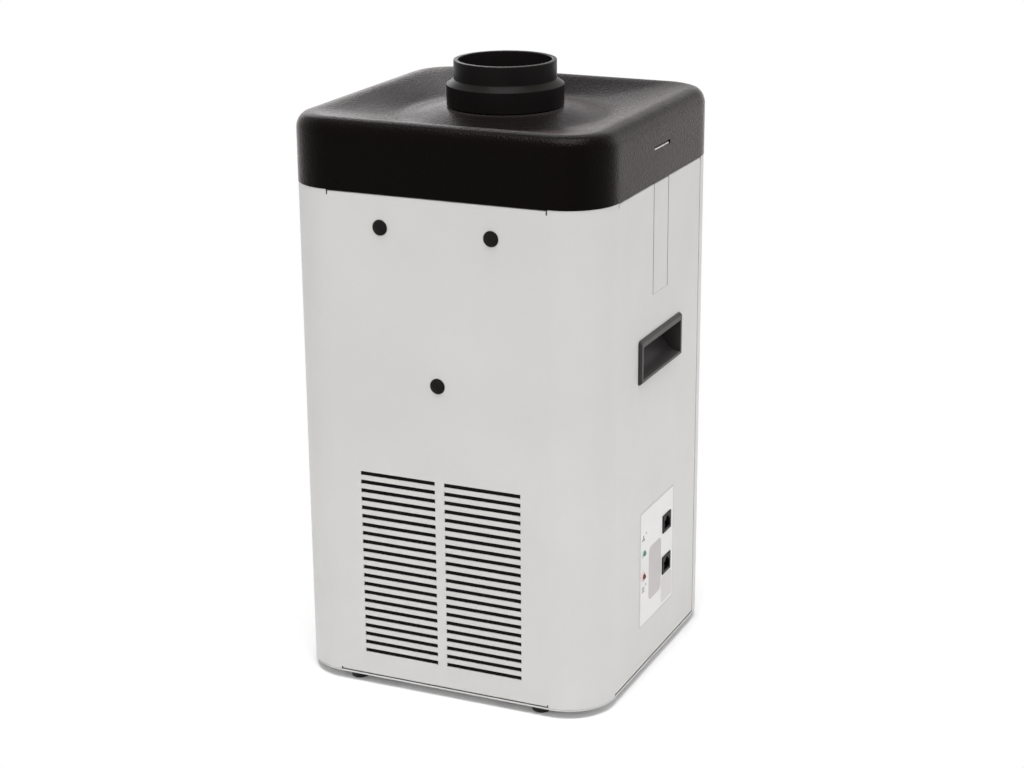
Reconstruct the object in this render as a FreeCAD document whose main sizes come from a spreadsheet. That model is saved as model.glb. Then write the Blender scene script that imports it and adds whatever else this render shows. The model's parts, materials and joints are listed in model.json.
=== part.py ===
import FreeCAD, Part
import math
import os
import Sketcher
from FreeCAD import Rotation, Vector

# Bench-top solder fume extractor: a folded sheet housing on rubber feet, a dished lid with a
# duct collar, a filter cassette under the lid and a backward-curved fan under the filter.
# Frame: +Z up, front face towards -Y, right side +X, origin on the floor under the centre.
# Millimetres throughout.

DOC = FreeCAD.newDocument("FumeExtractor")

SIZES = {
    # Housing wrap and base
    "body_width": 245.0,            # wrap, left to right
    "body_depth": 242.0,            # wrap, front to back
    "corner_radius": 36.8,          # upright corners, outside
    "wrap_height": 371.7,           # wrap, bottom edge to top edge
    "wall_sheet": 1.2,              # steel sheet of the wrap
    "flange_width": 12.0,           # turned-in edges at top and bottom
    "bend_radius": 2.0,             # outside radius of those bends
    "relief_inset": 1.6,            # from the corner's tangent line to the flange's end
    "relief_width": 1.0,            # slit between flange and corner
    "relief_depth": 3.8,            # at the top edge
    "low_relief_depth": 2.2,        # at the bottom edge
    "seam_width": 0.6,              # upright groove in front of the rear corners
    "seam_depth": 0.5,
    "base_thickness": 1.5,
    "base_round": 0.5,
    "foot_height": 6.0,
    "foot_radius": 7.2,
    "foot_inset": 11.0,             # foot centre from the front and rear faces
    "foot_spacing": 150.0,          # foot centres, left to right
    "foot_taper": 0.6,              # narrower at the floor, each side
    "foot_web": 1.8,                # rubber between the screw's head and the base
    # Exhaust louvre
    "slot_length": 60.2,
    "slot_height": 3.1,
    "slot_pitch": 6.733,
    "slot_rows": 22,
    "column_gap": 7.4,              # plain metal between the two columns
    "lowest_slot": 19.8,            # its centre above the wrap's bottom edge
    # Hole plugs
    "plug_hole_radius": 4.0,
    "plug_head_radius": 5.6,
    "plug_head_height": 2.0,
    "plug_spacing": 85.8,           # the two upper plugs
    "plug_drop": 24.2,              # upper plugs below the wrap's top edge
    "lower_plug_drop": 136.1,
    "plug_stem": 6.0,               # length behind the wall's outer face
    "plug_barb": 0.3,               # barb beyond the hole's edge
    "plug_barb_rise": 1.5,
    "plug_taper": 1.0,
    # Latch tongues
    "tongue_width": 28.5,
    "slit_width": 1.0,
    "tongue_drop": 82.7,            # root below the wrap's top edge
    "hinge_gap": 0.1,
    "tab_slot_rise": 24.4,          # lid's slot above the lid's bottom edge
    "tab_slot_height": 3.0,
    "tab_slot_length": 31.0,
    "tab_clearance": 0.4,
    "tab_length": 2.8,
    # Recessed grips
    "grip_below": 18.0,             # bezel centre below the filter's shelf
    "grip_width": 86.0,
    "grip_rise": 33.0,
    "grip_proud": 2.5,
    "grip_depth": 25.0,
    "grip_bar_top": 5.0,
    "grip_bar_bottom": 3.5,
    "grip_bar_side": 4.0,
    "grip_wall": 2.0,
    "grip_corner": 2.0,
    "grip_scoop": 12.0,             # round between the recess's floor and its sloping back
    # Lid
    "lid_proud": 0.25,              # lid beyond the wrap, each side
    "lid_height": 50.5,             # bottom edge to crest
    "lid_wall": 3.0,
    "shoulder_radius": 12.0,
    "rim_land": 1.4,                # level strip between shoulder and dish
    "rim_round": 6.0,
    "valley_round": 10.0,
    "dish_drop": 12.2,              # crest to valley
    "dish_radius": 75.0,            # valley circle
    "cone_rise": 6.6,               # valley to collar seat
    "cone_top_radius": 47.0,
    "plenum_wall": 2.5,
    "plenum_inset": 2.5,            # inside the casing's side
    "gasket_inset": 1.0,
    # Duct collar
    "duct_radius": 37.8,            # outside of the spigot
    "duct_wall": 3.6,
    "duct_length": 14.0,
    "collar_radius": 43.2,
    "collar_height": 16.1,
    "collar_step": 3.8,             # slope from the ring up to the spigot
    "collar_bevel": 1.0,
    "nut_height": 4.0,
    "nut_width": 8.0,
    "nut_notches": 8,
    "neck_beyond": 1.0,             # collar's neck past its nut
    "spigot_round": 0.65,
    # Filter cassette and its shelf
    "shelf_drop": 109.2,            # underside below the wrap's top edge
    "shelf_sheet": 1.5,
    "shelf_flange": 10.0,
    "gasket_height": 4.0,
    "gasket_width": 12.0,
    "casing_gap": 6.0,              # casing to the wrap's turned-in edges
    "casing_height": 118.0,
    "casing_corner": 10.0,
    "casing_lip": 8.0,
    "grid_count": 6,                # openings along each side
    "grid_bar": 5.0,
    "mat_height": 8.0,
    "pleat_height": 52.0,
    "pleat_count": 22,
    "pleat_sheet": 1.0,
    # Fan
    "nozzle_throat": 51.0,
    "nozzle_mouth": 64.0,
    "nozzle_flange": 16.0,          # flat rim outside the mouth
    "nozzle_depth": 20.0,
    "nozzle_overlap": 4.0,          # nozzle reaches into the impeller's eye
    "eye_gap": 1.8,
    "fan_gap": 11.0,                # impeller to the legs of its bridge
    "impeller_height": 48.0,
    "impeller_sheet": 2.0,
    "blade_count": 9,
    "blade_radius": 125.0,          # curvature of a blade
    "blade_inset": 41.0,            # how near its arc, drawn on, passes the axis
    "blade_sheet": 2.0,
    "blade_root_radius": 50.0,
    "rotor_radius": 38.0,
    "rotor_height": 42.0,
    "rotor_drop": 16.8,             # rotor's lower edge below the backplate
    "rotor_wall": 3.0,
    "magnet_wall": 3.5,
    "magnet_inset": 2.0,
    "air_gap": 1.0,
    "shaft_radius": 3.0,
    "bearing_radius": 9.0,
    "bearing_height": 6.0,
    "bearing_ledge": 1.5,
    "tube_wall": 2.5,
    "stator_teeth": 12,
    "stator_height": 22.0,
    "stator_ring": 4.0,
    "tooth_width": 4.0,
    "pole_width": 12.0,
    "pole_height": 2.4,
    "motor_flange_radius": 45.0,
    "motor_flange_sheet": 4.0,
    "damper_radius": 5.0,
    "damper_height": 4.0,
    "bridge_sheet": 2.0,
    "bridge_width": 66.0,
    "bridge_foot": 14.0,
    "bridge_reach": 2.0,            # its screws beyond the casing's side
    # Linings
    "lining_thickness": 8.0,
    "lining_margin": 6.0,
    # Controls on the right side
    "label_width": 70.5,
    "label_rise": 92.3,
    "label_level": 79.75,           # label centre above the wrap's bottom edge
    "label_sheet": 0.25,
    "socket_width": 17.0,
    "socket_rise": 14.0,
    "socket_depth": 14.5,
    "socket_proud": 1.0,
    "socket_across": 20.0,          # socket centres behind the label's centre line
    "socket_upper": 100.7,
    "socket_lower": 66.8,
    "jack_width": 11.8,
    "jack_rise": 7.0,
    "jack_depth": 11.0,
    "jack_drop": 1.0,               # opening below the middle of the bezel
    "jack_step": 1.4,               # each of the two steps for the plug's catch
    "contact_count": 8,
    "contact_width": 0.4,
    "contact_height": 0.6,
    "contact_inset": 3.0,
    "led_radius": 2.5,
    "led_across": 28.5,             # in front of the label's centre line
    "led_upper": 92.8,
    "led_lower": 74.1,
    "led_sunk": 0.25,               # straight side ends inside the label's face
    "led_body": 4.0,                # length behind the round nose
    "led_brim": 0.4,
    "led_brim_height": 1.0,
    "led_leg": 0.5,
    "led_leg_pitch": 2.54,
    "led_ring": 1.4,
    "ring_proud": 0.8,
    "ring_reach": 1.5,              # sleeve past the wall
    "board_sheet": 1.6,
    "board_width": 76.0,
    "board_rise": 78.0,
    "board_hole_inset": 5.0,
    "post_radius": 3.2,
    # Rear panel
    "panel_margin": 0.7,            # panel's edge to the start of the corner round
    "panel_rise": 150.0,
    "panel_level": 100.0,           # panel centre above the wrap's bottom edge
    "panel_lap": 8.0,               # panel beyond its opening, each side
    "panel_sheet": 1.5,
    # Appliance inlet in the rear panel, with its fuse drawer
    "inlet_inset": 40.0,            # its middle from the panel's edge
    "inlet_drop": 38.0,             # its middle below the panel's
    "inlet_flange_width": 50.0,
    "inlet_flange_rise": 34.0,
    "inlet_body_width": 31.0,
    "inlet_body_rise": 30.0,
    "inlet_depth": 24.0,
    "inlet_lip": 2.5,
    "recess_width": 24.6,
    "recess_low": 4.6,              # below the inlet's middle
    "recess_high": 12.0,
    "recess_cut": 4.6,              # cut-off upper corners
    "recess_depth": 17.0,
    "pin_spread": 7.0,              # outer pins, each side of the middle
    "pin_level": 2.2,
    "pin_step": 4.0,                # middle pin above the outer ones
    "pin_width": 2.0,
    "pin_height": 4.0,
    "pin_length": 14.0,
    "drawer_width": 25.0,
    "drawer_rise": 5.6,
    "drawer_drop": 10.0,            # below the inlet's middle
    "drawer_depth": 18.0,
    "drawer_end_gap": 0.5,
    "drawer_lip": 1.2,
    "fuse_width": 6.0,
    # Rocker switch beside the inlet
    "switch_spacing": 50.0,         # its middle from the inlet's
    "switch_flange_width": 21.0,
    "switch_flange_rise": 26.0,
    "switch_body_width": 18.0,
    "switch_body_rise": 23.0,
    "switch_window_width": 13.6,
    "switch_window_rise": 20.0,
    "switch_depth": 16.0,
    "switch_lip": 1.6,
    "rocker_pin": 1.2,
    "rocker_pivot": 3.0,            # pins behind the panel's face
    "rocker_proud": 5.6,            # raised ends, from the pins
    "rocker_dip": 1.4,              # middle below the ends
    "rocker_root": 2.0,
    "rocker_gap": 0.4,              # beside the window, each side
    "rocker_end_gap": 1.0,
    "rocker_taper": 1.5,
    # Power supply
    "supply_length": 110.0,
    "supply_width": 72.0,
    "supply_lift": 8.0,
    "sink_across": 34.0,            # heat sink from the board's left edge
    "sink_inset": 12.0,             # its front face from the board's rear edge
    "sink_depth": 10.0,
    "sink_rise": 30.0,
    "sink_floor": 4.0,
    "fin_sheet": 3.0,
    "fin_pitch": 7.0,
    "fin_count": 6,
    # Screws
    "screw_radius": 2.0,
    "screw_head_radius": 3.8,
    "screw_head_height": 2.2,
    "screw_beyond": 2.0,            # shank past the sheets that it joins
    # Fits, each side
    "fit_gap": 0.3,                 # loose parts
    "snug_gap": 0.1,                # parts that plug in
    "shaft_clearance": 0.03,        # running fits and shanks in their holes
    "seat_gap": 0.02,               # bearings in their seats
}


class Size:
    """A length: its number, and the expression that ties it to the sheet."""

    def __init__(self, number, text):
        self.number = float(number)
        self.text = text

    def __add__(self, other):
        other = as_size(other)
        return Size(self.number + other.number, f"({self.text} + {other.text})")

    def __sub__(self, other):
        other = as_size(other)
        return Size(self.number - other.number, f"({self.text} - {other.text})")

    def __mul__(self, other):
        other = as_size(other)
        return Size(self.number * other.number, f"({self.text} * {other.text})")

    def __truediv__(self, other):
        other = as_size(other)
        return Size(self.number / other.number, f"({self.text} / {other.text})")

    def __radd__(self, other):
        return as_size(other) + self

    def __rsub__(self, other):
        return as_size(other) - self

    def __rmul__(self, other):
        return as_size(other) * self

    def __neg__(self):
        return 0 - self


def as_size(value):
    return value if isinstance(value, Size) else Size(value, f"({value})")


def smaller(first, second):
    return Size(min(first.number, second.number), f"min({first.text}; {second.text})")


class Names:
    """The sheet's sizes, each under its own name."""


def make_sizes():
    sheet = DOC.addObject("Spreadsheet::Sheet", "Sizes")
    names = Names()
    for row, (alias, number) in enumerate(SIZES.items(), start=1):
        sheet.set(f"A{row}", alias.replace("_", " "))
        sheet.set(f"B{row}", str(number))
        sheet.setAlias(f"B{row}", alias)
        setattr(names, alias, Size(number, f"Sizes.{alias}"))
    DOC.recompute()
    return names


S = make_sizes()

# Levels and faces that several pieces share
BASE_TOP = S.foot_height + S.base_thickness
WRAP_TOP = BASE_TOP + S.wrap_height
HALF_WIDTH = S.body_width / 2
HALF_DEPTH = S.body_depth / 2
INNER_X = HALF_WIDTH - S.wall_sheet
INNER_Y = HALF_DEPTH - S.wall_sheet
THROUGH_WALL = 2 * S.wall_sheet
CREST = WRAP_TOP + S.lid_height
VALLEY = CREST - S.dish_drop
SEAT = VALLEY + S.cone_rise
SHELF_BOTTOM = WRAP_TOP - S.shelf_drop
SHELF_TOP = SHELF_BOTTOM + S.shelf_sheet
CASING_BOTTOM = SHELF_TOP + S.gasket_height
CASING_TOP = CASING_BOTTOM + S.casing_height
CASING_WIDTH = 2 * (smaller(HALF_WIDTH, HALF_DEPTH) - S.flange_width - S.casing_gap)
TONGUE_ROOT = WRAP_TOP - S.tongue_drop
GRIP_LEVEL = SHELF_BOTTOM - S.grip_below
LABEL_LEVEL = BASE_TOP + S.label_level
PANEL_LEVEL = BASE_TOP + S.panel_level
PANEL_WIDTH = 2 * (HALF_WIDTH - S.corner_radius - S.panel_margin)

KEPT = []


# ---------------------------------------------------------------- document helpers

def tie(thing, where, size):
    thing.setExpression(where, as_size(size).text)


def keep(thing, label):
    """Mark a finished sub-part; its label names its node."""
    thing.Label = label
    KEPT.append(thing)
    return thing


def new_body(name):
    return DOC.addObject("PartDesign::Body", name)


def seat(thing, x=0, y=0, z=0, axis=None, angle=0):
    """Place a sub-part; its position follows the sheet."""
    for letter, size in zip("xyz", (x, y, z)):
        tie(thing, f"Placement.Base.{letter}", size)
    if axis is not None:
        thing.Placement.Rotation = Rotation(axis, angle)


def origin_item(body, role):
    return next(item for item in body.Origin.OriginFeatures if item.Role == role)


def sketch_on(body, role, offset=0):
    """Sketch on one of the body's own planes, moved along its normal."""
    sketch = body.newObject("Sketcher::SketchObject", f"{body.Name}_sketch")
    sketch.AttachmentSupport = [(origin_item(body, role), "")]
    sketch.MapMode = "FlatFace"
    tie(sketch, "AttachmentOffset.Base.z", offset)
    return sketch


def flat(body, level=0):
    """Sketch in a level plane: x is X, y is Y."""
    return sketch_on(body, "XY_Plane", level)


def facing_front(body, distance=0):
    """Sketch in an upright plane, distance in front of the axis: x is X, y is Z."""
    return sketch_on(body, "XZ_Plane", distance)


def facing_right(body, distance=0):
    """Sketch in an upright plane, distance right of the axis: x is Y, y is Z."""
    return sketch_on(body, "YZ_Plane", distance)


def constrain(sketch, kind, *spots, size=None):
    """Add a constraint; a size is tied to the sheet."""
    if size is None:
        return sketch.addConstraint(Sketcher.Constraint(kind, *spots))
    size = as_size(size)
    index = sketch.addConstraint(Sketcher.Constraint(kind, *spots, size.number))
    sketch.setExpression(f"Constraints[{index}]", size.text)
    return index


def pin_point(sketch, item, end, x, y):
    """Hold one point of the sketch at sizes measured from its origin."""
    constrain(sketch, "DistanceX", -1, 1, item, end, size=x)
    constrain(sketch, "DistanceY", -1, 1, item, end, size=y)


def spot(x, y):
    return Vector(as_size(x).number, as_size(y).number, 0)


def circle(sketch, radius, x=0, y=0):
    item = sketch.addGeometry(Part.Circle(spot(x, y), Vector(0, 0, 1), as_size(radius).number))
    constrain(sketch, "Radius", item, size=radius)
    pin_point(sketch, item, 3, x, y)


class Bend:
    """A round stretch of an outline, between the points listed before and after it."""

    def __init__(self, centre, radius, clockwise=False):
        self.centre = centre
        self.radius = as_size(radius)
        self.clockwise = clockwise

    def curve(self, start, end):
        hub = spot(*self.centre)
        first, last = (end, start) if self.clockwise else (start, end)
        turn = [math.atan2(p.y - hub.y, p.x - hub.x) for p in (first, last)]
        round_line = Part.Circle(hub, Vector(0, 0, 1), self.radius.number)
        return Part.ArcOfCircle(round_line, turn[0], turn[1])


def outline(sketch, path):
    """Closed outline through (x, y) points, straight unless a Bend lies between two."""
    points = [item for item in path if not isinstance(item, Bend)]
    bends = {}
    for place, item in enumerate(path):
        if isinstance(item, Bend):
            bends[sum(not isinstance(other, Bend) for other in path[:place]) - 1] = item
    ends = []
    for number, point in enumerate(points):
        start = spot(*point)
        stop = spot(*points[(number + 1) % len(points)])
        bend = bends.get(number)
        curve = bend.curve(start, stop) if bend else Part.LineSegment(start, stop)
        item = sketch.addGeometry(curve)
        ends.append((item, 2, 1) if bend and bend.clockwise else (item, 1, 2))
        if bend:
            constrain(sketch, "Radius", item, size=bend.radius)
    for number, (item, start, stop) in enumerate(ends):
        following = ends[(number + 1) % len(ends)]
        constrain(sketch, "Coincident", item, stop, following[0], following[1])
        pin_point(sketch, item, start, *points[number])


def rectangle(sketch, width, height, x=0, y=0):
    left, right = x - as_size(width) / 2, x + as_size(width) / 2
    low, high = y - as_size(height) / 2, y + as_size(height) / 2
    outline(sketch, [(left, low), (right, low), (right, high), (left, high)])


def rounded_rectangle(sketch, width, height, radius, x=0, y=0):
    left, right = x - as_size(width) / 2, x + as_size(width) / 2
    low, high = y - as_size(height) / 2, y + as_size(height) / 2
    radius = as_size(radius)
    west, east, south, north = left + radius, right - radius, low + radius, high - radius
    outline(sketch, [
        (west, low), (east, low), Bend((east, south), radius),
        (right, south), (right, north), Bend((east, north), radius),
        (east, high), (west, high), Bend((west, north), radius),
        (left, north), (left, south), Bend((west, south), radius),
    ])


def finish_feature(body, feature):
    body.Tip = feature
    DOC.recompute()
    return feature


def pad(body, profile, length, back=False, both=False):
    feature = body.newObject("PartDesign::Pad", f"{body.Name}_pad")
    feature.Profile = profile
    feature.Reversed = back
    feature.Midplane = both
    tie(feature, "Length", length)
    return finish_feature(body, feature)


def pocket(body, profile, depth=None, back=False, both=False):
    """Cut against the sketch's normal, or along it with back; no depth cuts right through."""
    before = body.Shape.Volume
    feature = body.newObject("PartDesign::Pocket", f"{body.Name}_pocket")
    feature.Profile = profile
    feature.Reversed = back
    feature.Midplane = both
    if depth is None:
        feature.Type = "ThroughAll"
    else:
        tie(feature, "Length", depth)
    finish_feature(body, feature)
    if body.Shape.Volume >= before:
        raise RuntimeError(f"{feature.Name} cuts nothing")
    return feature


def spin(body, profile, kind="PartDesign::Revolution"):
    """Full turn about the sketch's upright axis."""
    feature = body.newObject(kind, f"{body.Name}_turned")
    feature.Profile = profile
    feature.ReferenceAxis = (profile, ["V_Axis"])
    feature.Angle = 360
    return finish_feature(body, feature)


def dress(body, kind, size_name, size, wanted):
    """Fillet or chamfer the edges of the body that a test picks."""
    base = body.Tip
    names = [f"Edge{number}" for number, edge in enumerate(base.Shape.Edges, start=1) if wanted(edge)]
    feature = body.newObject(kind, f"{body.Name}_edges")
    feature.Base = (base, names)
    tie(feature, size_name, size)
    return finish_feature(body, feature)


def fillet(body, radius, wanted):
    return dress(body, "PartDesign::Fillet", "Radius", radius, wanted)


def chamfer(body, size, wanted):
    return dress(body, "PartDesign::Chamfer", "Size", size, wanted)


def repeat_along(body, feature, profile, axis, pitch, count):
    """Copies of a feature along a sketch axis."""
    pattern = body.newObject("PartDesign::LinearPattern", f"{body.Name}_row")
    pattern.Originals = [feature]
    pattern.Direction = (profile, [axis])
    pattern.Mode = "Spacing"
    tie(pattern, "Offset", pitch)
    tie(pattern, "Occurrences", count)
    return finish_feature(body, pattern)


def repeat_round(body, feature, count):
    """Copies of a feature round the body's upright axis."""
    pattern = body.newObject("PartDesign::PolarPattern", f"{body.Name}_ring")
    pattern.Originals = [feature]
    pattern.Axis = (origin_item(body, "Z_Axis"), [""])
    pattern.Angle = 360
    tie(pattern, "Occurrences", count)
    return finish_feature(body, pattern)


def mirror_across(body, feature, role):
    """The feature again on the other side of one of the body's planes."""
    copy = body.newObject("PartDesign::Mirrored", f"{body.Name}_mirrored")
    copy.Originals = [feature]
    copy.MirrorPlane = (origin_item(body, role), [""])
    return finish_feature(body, copy)


def box(name, low, size):
    thing = DOC.addObject("Part::Box", name)
    seat(thing, *low)
    for side, length in zip(("Length", "Width", "Height"), size):
        tie(thing, side, length)
    return thing


def rod(name, radius, length, foot, axis=None, angle=0):
    """Cylinder standing on foot, or tipped about an axis through it."""
    thing = DOC.addObject("Part::Cylinder", name)
    tie(thing, "Radius", radius)
    tie(thing, "Height", length)
    seat(thing, *foot, axis=axis, angle=angle)
    return thing


def gather(label, things):
    """Separate solids that share one node."""
    group = DOC.addObject("Part::Compound", label)
    group.Links = things
    return keep(group, label)


def copies(master, places):
    """The master again at each place: (x, y, z) with an optional axis and angle."""
    made = []
    for place in places:
        link = DOC.addObject("App::Link", f"{master.Name}_copy")
        link.LinkedObject = master
        seat(link, *place)
        made.append(link)
    return made


def sides(edge, axis, value):
    """True where the whole edge lies in the plane axis = value."""
    box_of_edge = edge.BoundBox
    low, high = getattr(box_of_edge, f"{axis}Min"), getattr(box_of_edge, f"{axis}Max")
    return abs(low - value) < 1e-4 and abs(high - value) < 1e-4


def within(edge, half_x, half_y):
    """True where the whole edge lies inside a rectangle about the Z axis."""
    room = edge.BoundBox
    return (max(room.XMax, -room.XMin) < half_x.number + 1e-3
            and max(room.YMax, -room.YMin) < half_y.number + 1e-3)


def runs_along(edge, axis):
    """True for a straight edge parallel to the axis."""
    box_of_edge = edge.BoundBox
    span = {name: getattr(box_of_edge, f"{name}Length") for name in "XYZ"}
    return span[axis] > 1e-3 and all(span[name] < 1e-4 for name in "XYZ" if name != axis)


# ---------------------------------------------------------------- housing

def turned_edges(body, level, slit_depth, back):
    """Flanges turned in from all four walls, with slits that part them from the corners."""
    flat_x = HALF_WIDTH - S.corner_radius - S.relief_inset
    flat_y = HALF_DEPTH - S.corner_radius - S.relief_inset
    middle_x = INNER_X - S.flange_width / 2 + S.wall_sheet / 2
    middle_y = INNER_Y - S.flange_width / 2 + S.wall_sheet / 2
    reach = S.flange_width - S.wall_sheet
    plan = flat(body, level)
    for side in (-1, 1):
        rectangle(plan, 2 * flat_x, reach, 0, side * middle_y)
        rectangle(plan, reach, 2 * flat_y, side * middle_x, 0)
    pad(body, plan, S.wall_sheet, back=back)
    slits = flat(body, level)
    for side_x in (-1, 1):
        for side_y in (-1, 1):
            rectangle(slits, S.relief_width, 2 * S.bend_radius,
                      side_x * (flat_x + S.relief_width / 2), side_y * HALF_DEPTH)
            rectangle(slits, 2 * S.bend_radius, S.relief_width,
                      side_x * HALF_WIDTH, side_y * (flat_y + S.relief_width / 2))
    pocket(body, slits, slit_depth, back=not back)

    def outer_bend(edge):
        on_wall = any(sides(edge, "X", side * HALF_WIDTH.number) for side in (-1, 1))
        on_wall = on_wall or any(sides(edge, "Y", side * HALF_DEPTH.number) for side in (-1, 1))
        return on_wall and sides(edge, "Z", level.number) and edge.Length > 2 * S.bend_radius.number

    fillet(body, S.bend_radius, outer_bend)


def tongue_notches(body):
    """Gaps in both side walls for the latch tongues and their slits, open at the top."""
    rise = S.tongue_drop + S.wall_sheet
    notch = facing_right(body)
    rectangle(notch, S.tongue_width + 2 * S.slit_width, rise, 0, TONGUE_ROOT + rise / 2)
    pocket(body, notch, both=True)


def rear_seams(body):
    """Fine groove down each side wall, in line with the slits before the rear corners."""
    seam = facing_right(body, HALF_WIDTH)
    across = HALF_DEPTH - S.corner_radius - S.relief_inset + S.relief_width / 2
    rectangle(seam, S.seam_width, S.wrap_height, across, BASE_TOP + S.wrap_height / 2)
    groove = pocket(body, seam, S.seam_depth)
    mirror_across(body, groove, "YZ_Plane")


def grip_windows(body):
    window = facing_right(body)
    spare = 2 * S.grip_wall + S.fit_gap
    rectangle(window, grip_inner_width() + spare, grip_inner_rise() + spare, 0, GRIP_LEVEL + grip_offset())
    pocket(body, window, both=True)


def plug_holes(body):
    holes = facing_front(body, HALF_DEPTH)
    for x, z in plug_places():
        circle(holes, S.plug_hole_radius, x, z)
    pocket(body, holes, THROUGH_WALL)


def rear_opening(body):
    """Service opening behind the rear panel, with the bores of the panel's screws."""
    opening = facing_front(body, -HALF_DEPTH)
    rectangle(opening, PANEL_WIDTH - 2 * S.panel_lap, S.panel_rise - 2 * S.panel_lap, 0, PANEL_LEVEL)
    for x, z in panel_screw_places():
        circle(opening, S.screw_radius, x, z)
    pocket(body, opening, THROUGH_WALL, back=True)


def control_windows(sketch):
    """Windows for the two sockets and the two lamps, in the wall and in its label."""
    for level in (S.socket_upper, S.socket_lower):
        rectangle(sketch, S.socket_width + S.fit_gap, S.socket_rise + S.fit_gap,
                  S.socket_across, BASE_TOP + level)
    for level in (S.led_upper, S.led_lower):
        circle(sketch, S.led_radius + S.led_ring / 2, -S.led_across, BASE_TOP + level)


def louvre(body):
    """Two columns of level slots low in the front wall."""
    slots = facing_front(body, HALF_DEPTH)
    for side in (-1, 1):
        rectangle(slots, S.slot_length, S.slot_height,
                  side * (S.column_gap + S.slot_length) / 2, BASE_TOP + S.lowest_slot)
    lowest = pocket(body, slots, THROUGH_WALL)
    repeat_along(body, lowest, slots, "V_Axis", S.slot_pitch, S.slot_rows)


def housing_wrap():
    """Folded sheet round all four sides, open at top and bottom."""
    body = new_body("housing_wrap")
    plan = flat(body, BASE_TOP)
    rounded_rectangle(plan, S.body_width, S.body_depth, S.corner_radius)
    rounded_rectangle(plan, 2 * INNER_X, 2 * INNER_Y, S.corner_radius - S.wall_sheet)
    pad(body, plan, S.wrap_height)
    turned_edges(body, BASE_TOP, S.low_relief_depth, back=False)
    turned_edges(body, WRAP_TOP, S.relief_depth, back=True)
    rear_seams(body)
    tongue_notches(body)
    grip_windows(body)
    plug_holes(body)
    rear_opening(body)
    windows = facing_right(body, HALF_WIDTH)
    control_windows(windows)
    pocket(body, windows, THROUGH_WALL)
    bores = flat(body, BASE_TOP)
    for x, y in base_screw_places():
        circle(bores, S.screw_radius, x, y)
    pocket(body, bores, THROUGH_WALL, back=True)
    louvre(body)
    return keep(body, "housing_wrap")


def base_screw_places():
    """Four along the side flanges and four along the front and rear ones."""
    x = HALF_WIDTH - S.flange_width / 2
    y = HALF_DEPTH - S.flange_width / 2
    along = S.flange_width * 4
    return [(i * x, j * along) for i in (-1, 1) for j in (-1, 1)] + [
        (i * along, j * y) for i in (-1, 1) for j in (-1, 1)]


def foot_places():
    x = S.foot_spacing / 2
    y = HALF_DEPTH - S.foot_inset
    return [(i * x, j * y) for i in (-1, 1) for j in (-1, 1)]


def base_plate():
    body = new_body("base_plate")
    plan = flat(body, S.foot_height)
    rounded_rectangle(plan, S.body_width, S.body_depth, S.corner_radius)
    for x, y in base_screw_places() + foot_places():
        circle(plan, S.screw_radius, x, y)
    pad(body, plan, S.base_thickness)
    fillet(body, S.base_round, lambda edge: edge.Length > S.corner_radius.number and (
        sides(edge, "Z", S.foot_height.number) or sides(edge, "Z", BASE_TOP.number)))
    return keep(body, "base_plate")


def screw(name, shank):
    """Bevelled pan-head screw standing on its head's underside, shank downwards."""
    body = new_body(name)
    profile = facing_front(body)
    radius = S.screw_radius - S.shaft_clearance
    bevel = S.screw_head_height / 2
    outline(profile, [
        (0, -shank), (radius, -shank), (radius, 0), (S.screw_head_radius, 0),
        (S.screw_head_radius, bevel), (S.screw_head_radius - bevel, S.screw_head_height),
        (0, S.screw_head_height),
    ])
    spin(body, profile)
    return body


UPSIDE_DOWN = (Vector(1, 0, 0), 180)
TO_REAR = (Vector(1, 0, 0), -90)
TO_FRONT = (Vector(1, 0, 0), 90)
TO_RIGHT = (Vector(0, 1, 0), 90)
TO_LEFT = (Vector(0, 1, 0), -90)


def base_screws():
    master = screw("base_screw", S.base_thickness + S.wall_sheet + S.screw_beyond)
    gather("base_screws", copies(master, [
        (x, y, S.foot_height, *UPSIDE_DOWN) for x, y in base_screw_places()]))


def feet():
    """Turned rubber feet, hollow below for their screws."""
    body = new_body("foot")
    profile = facing_front(body)
    recess = S.screw_head_radius + S.foot_taper
    roof = S.foot_height - S.foot_web
    outline(profile, [
        (S.screw_radius, S.foot_height), (S.screw_radius, roof), (recess, roof), (recess, 0),
        (S.foot_radius - S.foot_taper, 0), (S.foot_radius, S.foot_height),
    ])
    spin(body, profile)
    gather("feet", copies(body, [(x, y, 0) for x, y in foot_places()]))
    master = screw("foot_screw", S.foot_web + S.base_thickness - S.fit_gap)
    gather("foot_screws", copies(master, [(x, y, roof, *UPSIDE_DOWN) for x, y in foot_places()]))


def plug_places():
    upper = WRAP_TOP - S.plug_drop
    lower = WRAP_TOP - S.lower_plug_drop
    return [(S.plug_spacing / 2, upper), (-S.plug_spacing / 2, upper), (0, lower)]


def hole_plugs():
    """Domed snap-in plugs; the barb behind the sheet holds them."""
    body = new_body("hole_plug")
    profile = facing_front(body)
    stem = S.plug_hole_radius - S.snug_gap
    barb = S.plug_hole_radius + S.plug_barb
    behind = -S.wall_sheet - S.snug_gap
    brim = S.plug_head_height / 4
    rise = S.plug_head_height - brim
    dome = (S.plug_head_radius * S.plug_head_radius + rise * rise) / (2 * rise)
    outline(profile, [
        (0, -S.plug_stem), (stem - S.plug_taper, -S.plug_stem), (barb, behind - S.plug_barb_rise),
        (barb, behind), (stem, behind), (stem, 0), (S.plug_head_radius, 0), (S.plug_head_radius, brim),
        Bend((0, S.plug_head_height - dome), dome), (0, S.plug_head_height),
    ])
    spin(body, profile)
    gather("hole_plugs", copies(body, [
        (x, -HALF_DEPTH, z, *TO_FRONT) for x, z in plug_places()]))


# ---------------------------------------------------------------- recessed grips

def grip_inner_width():
    return S.grip_width - 2 * S.grip_bar_side


def grip_inner_rise():
    return S.grip_rise - S.grip_bar_top - S.grip_bar_bottom


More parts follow.
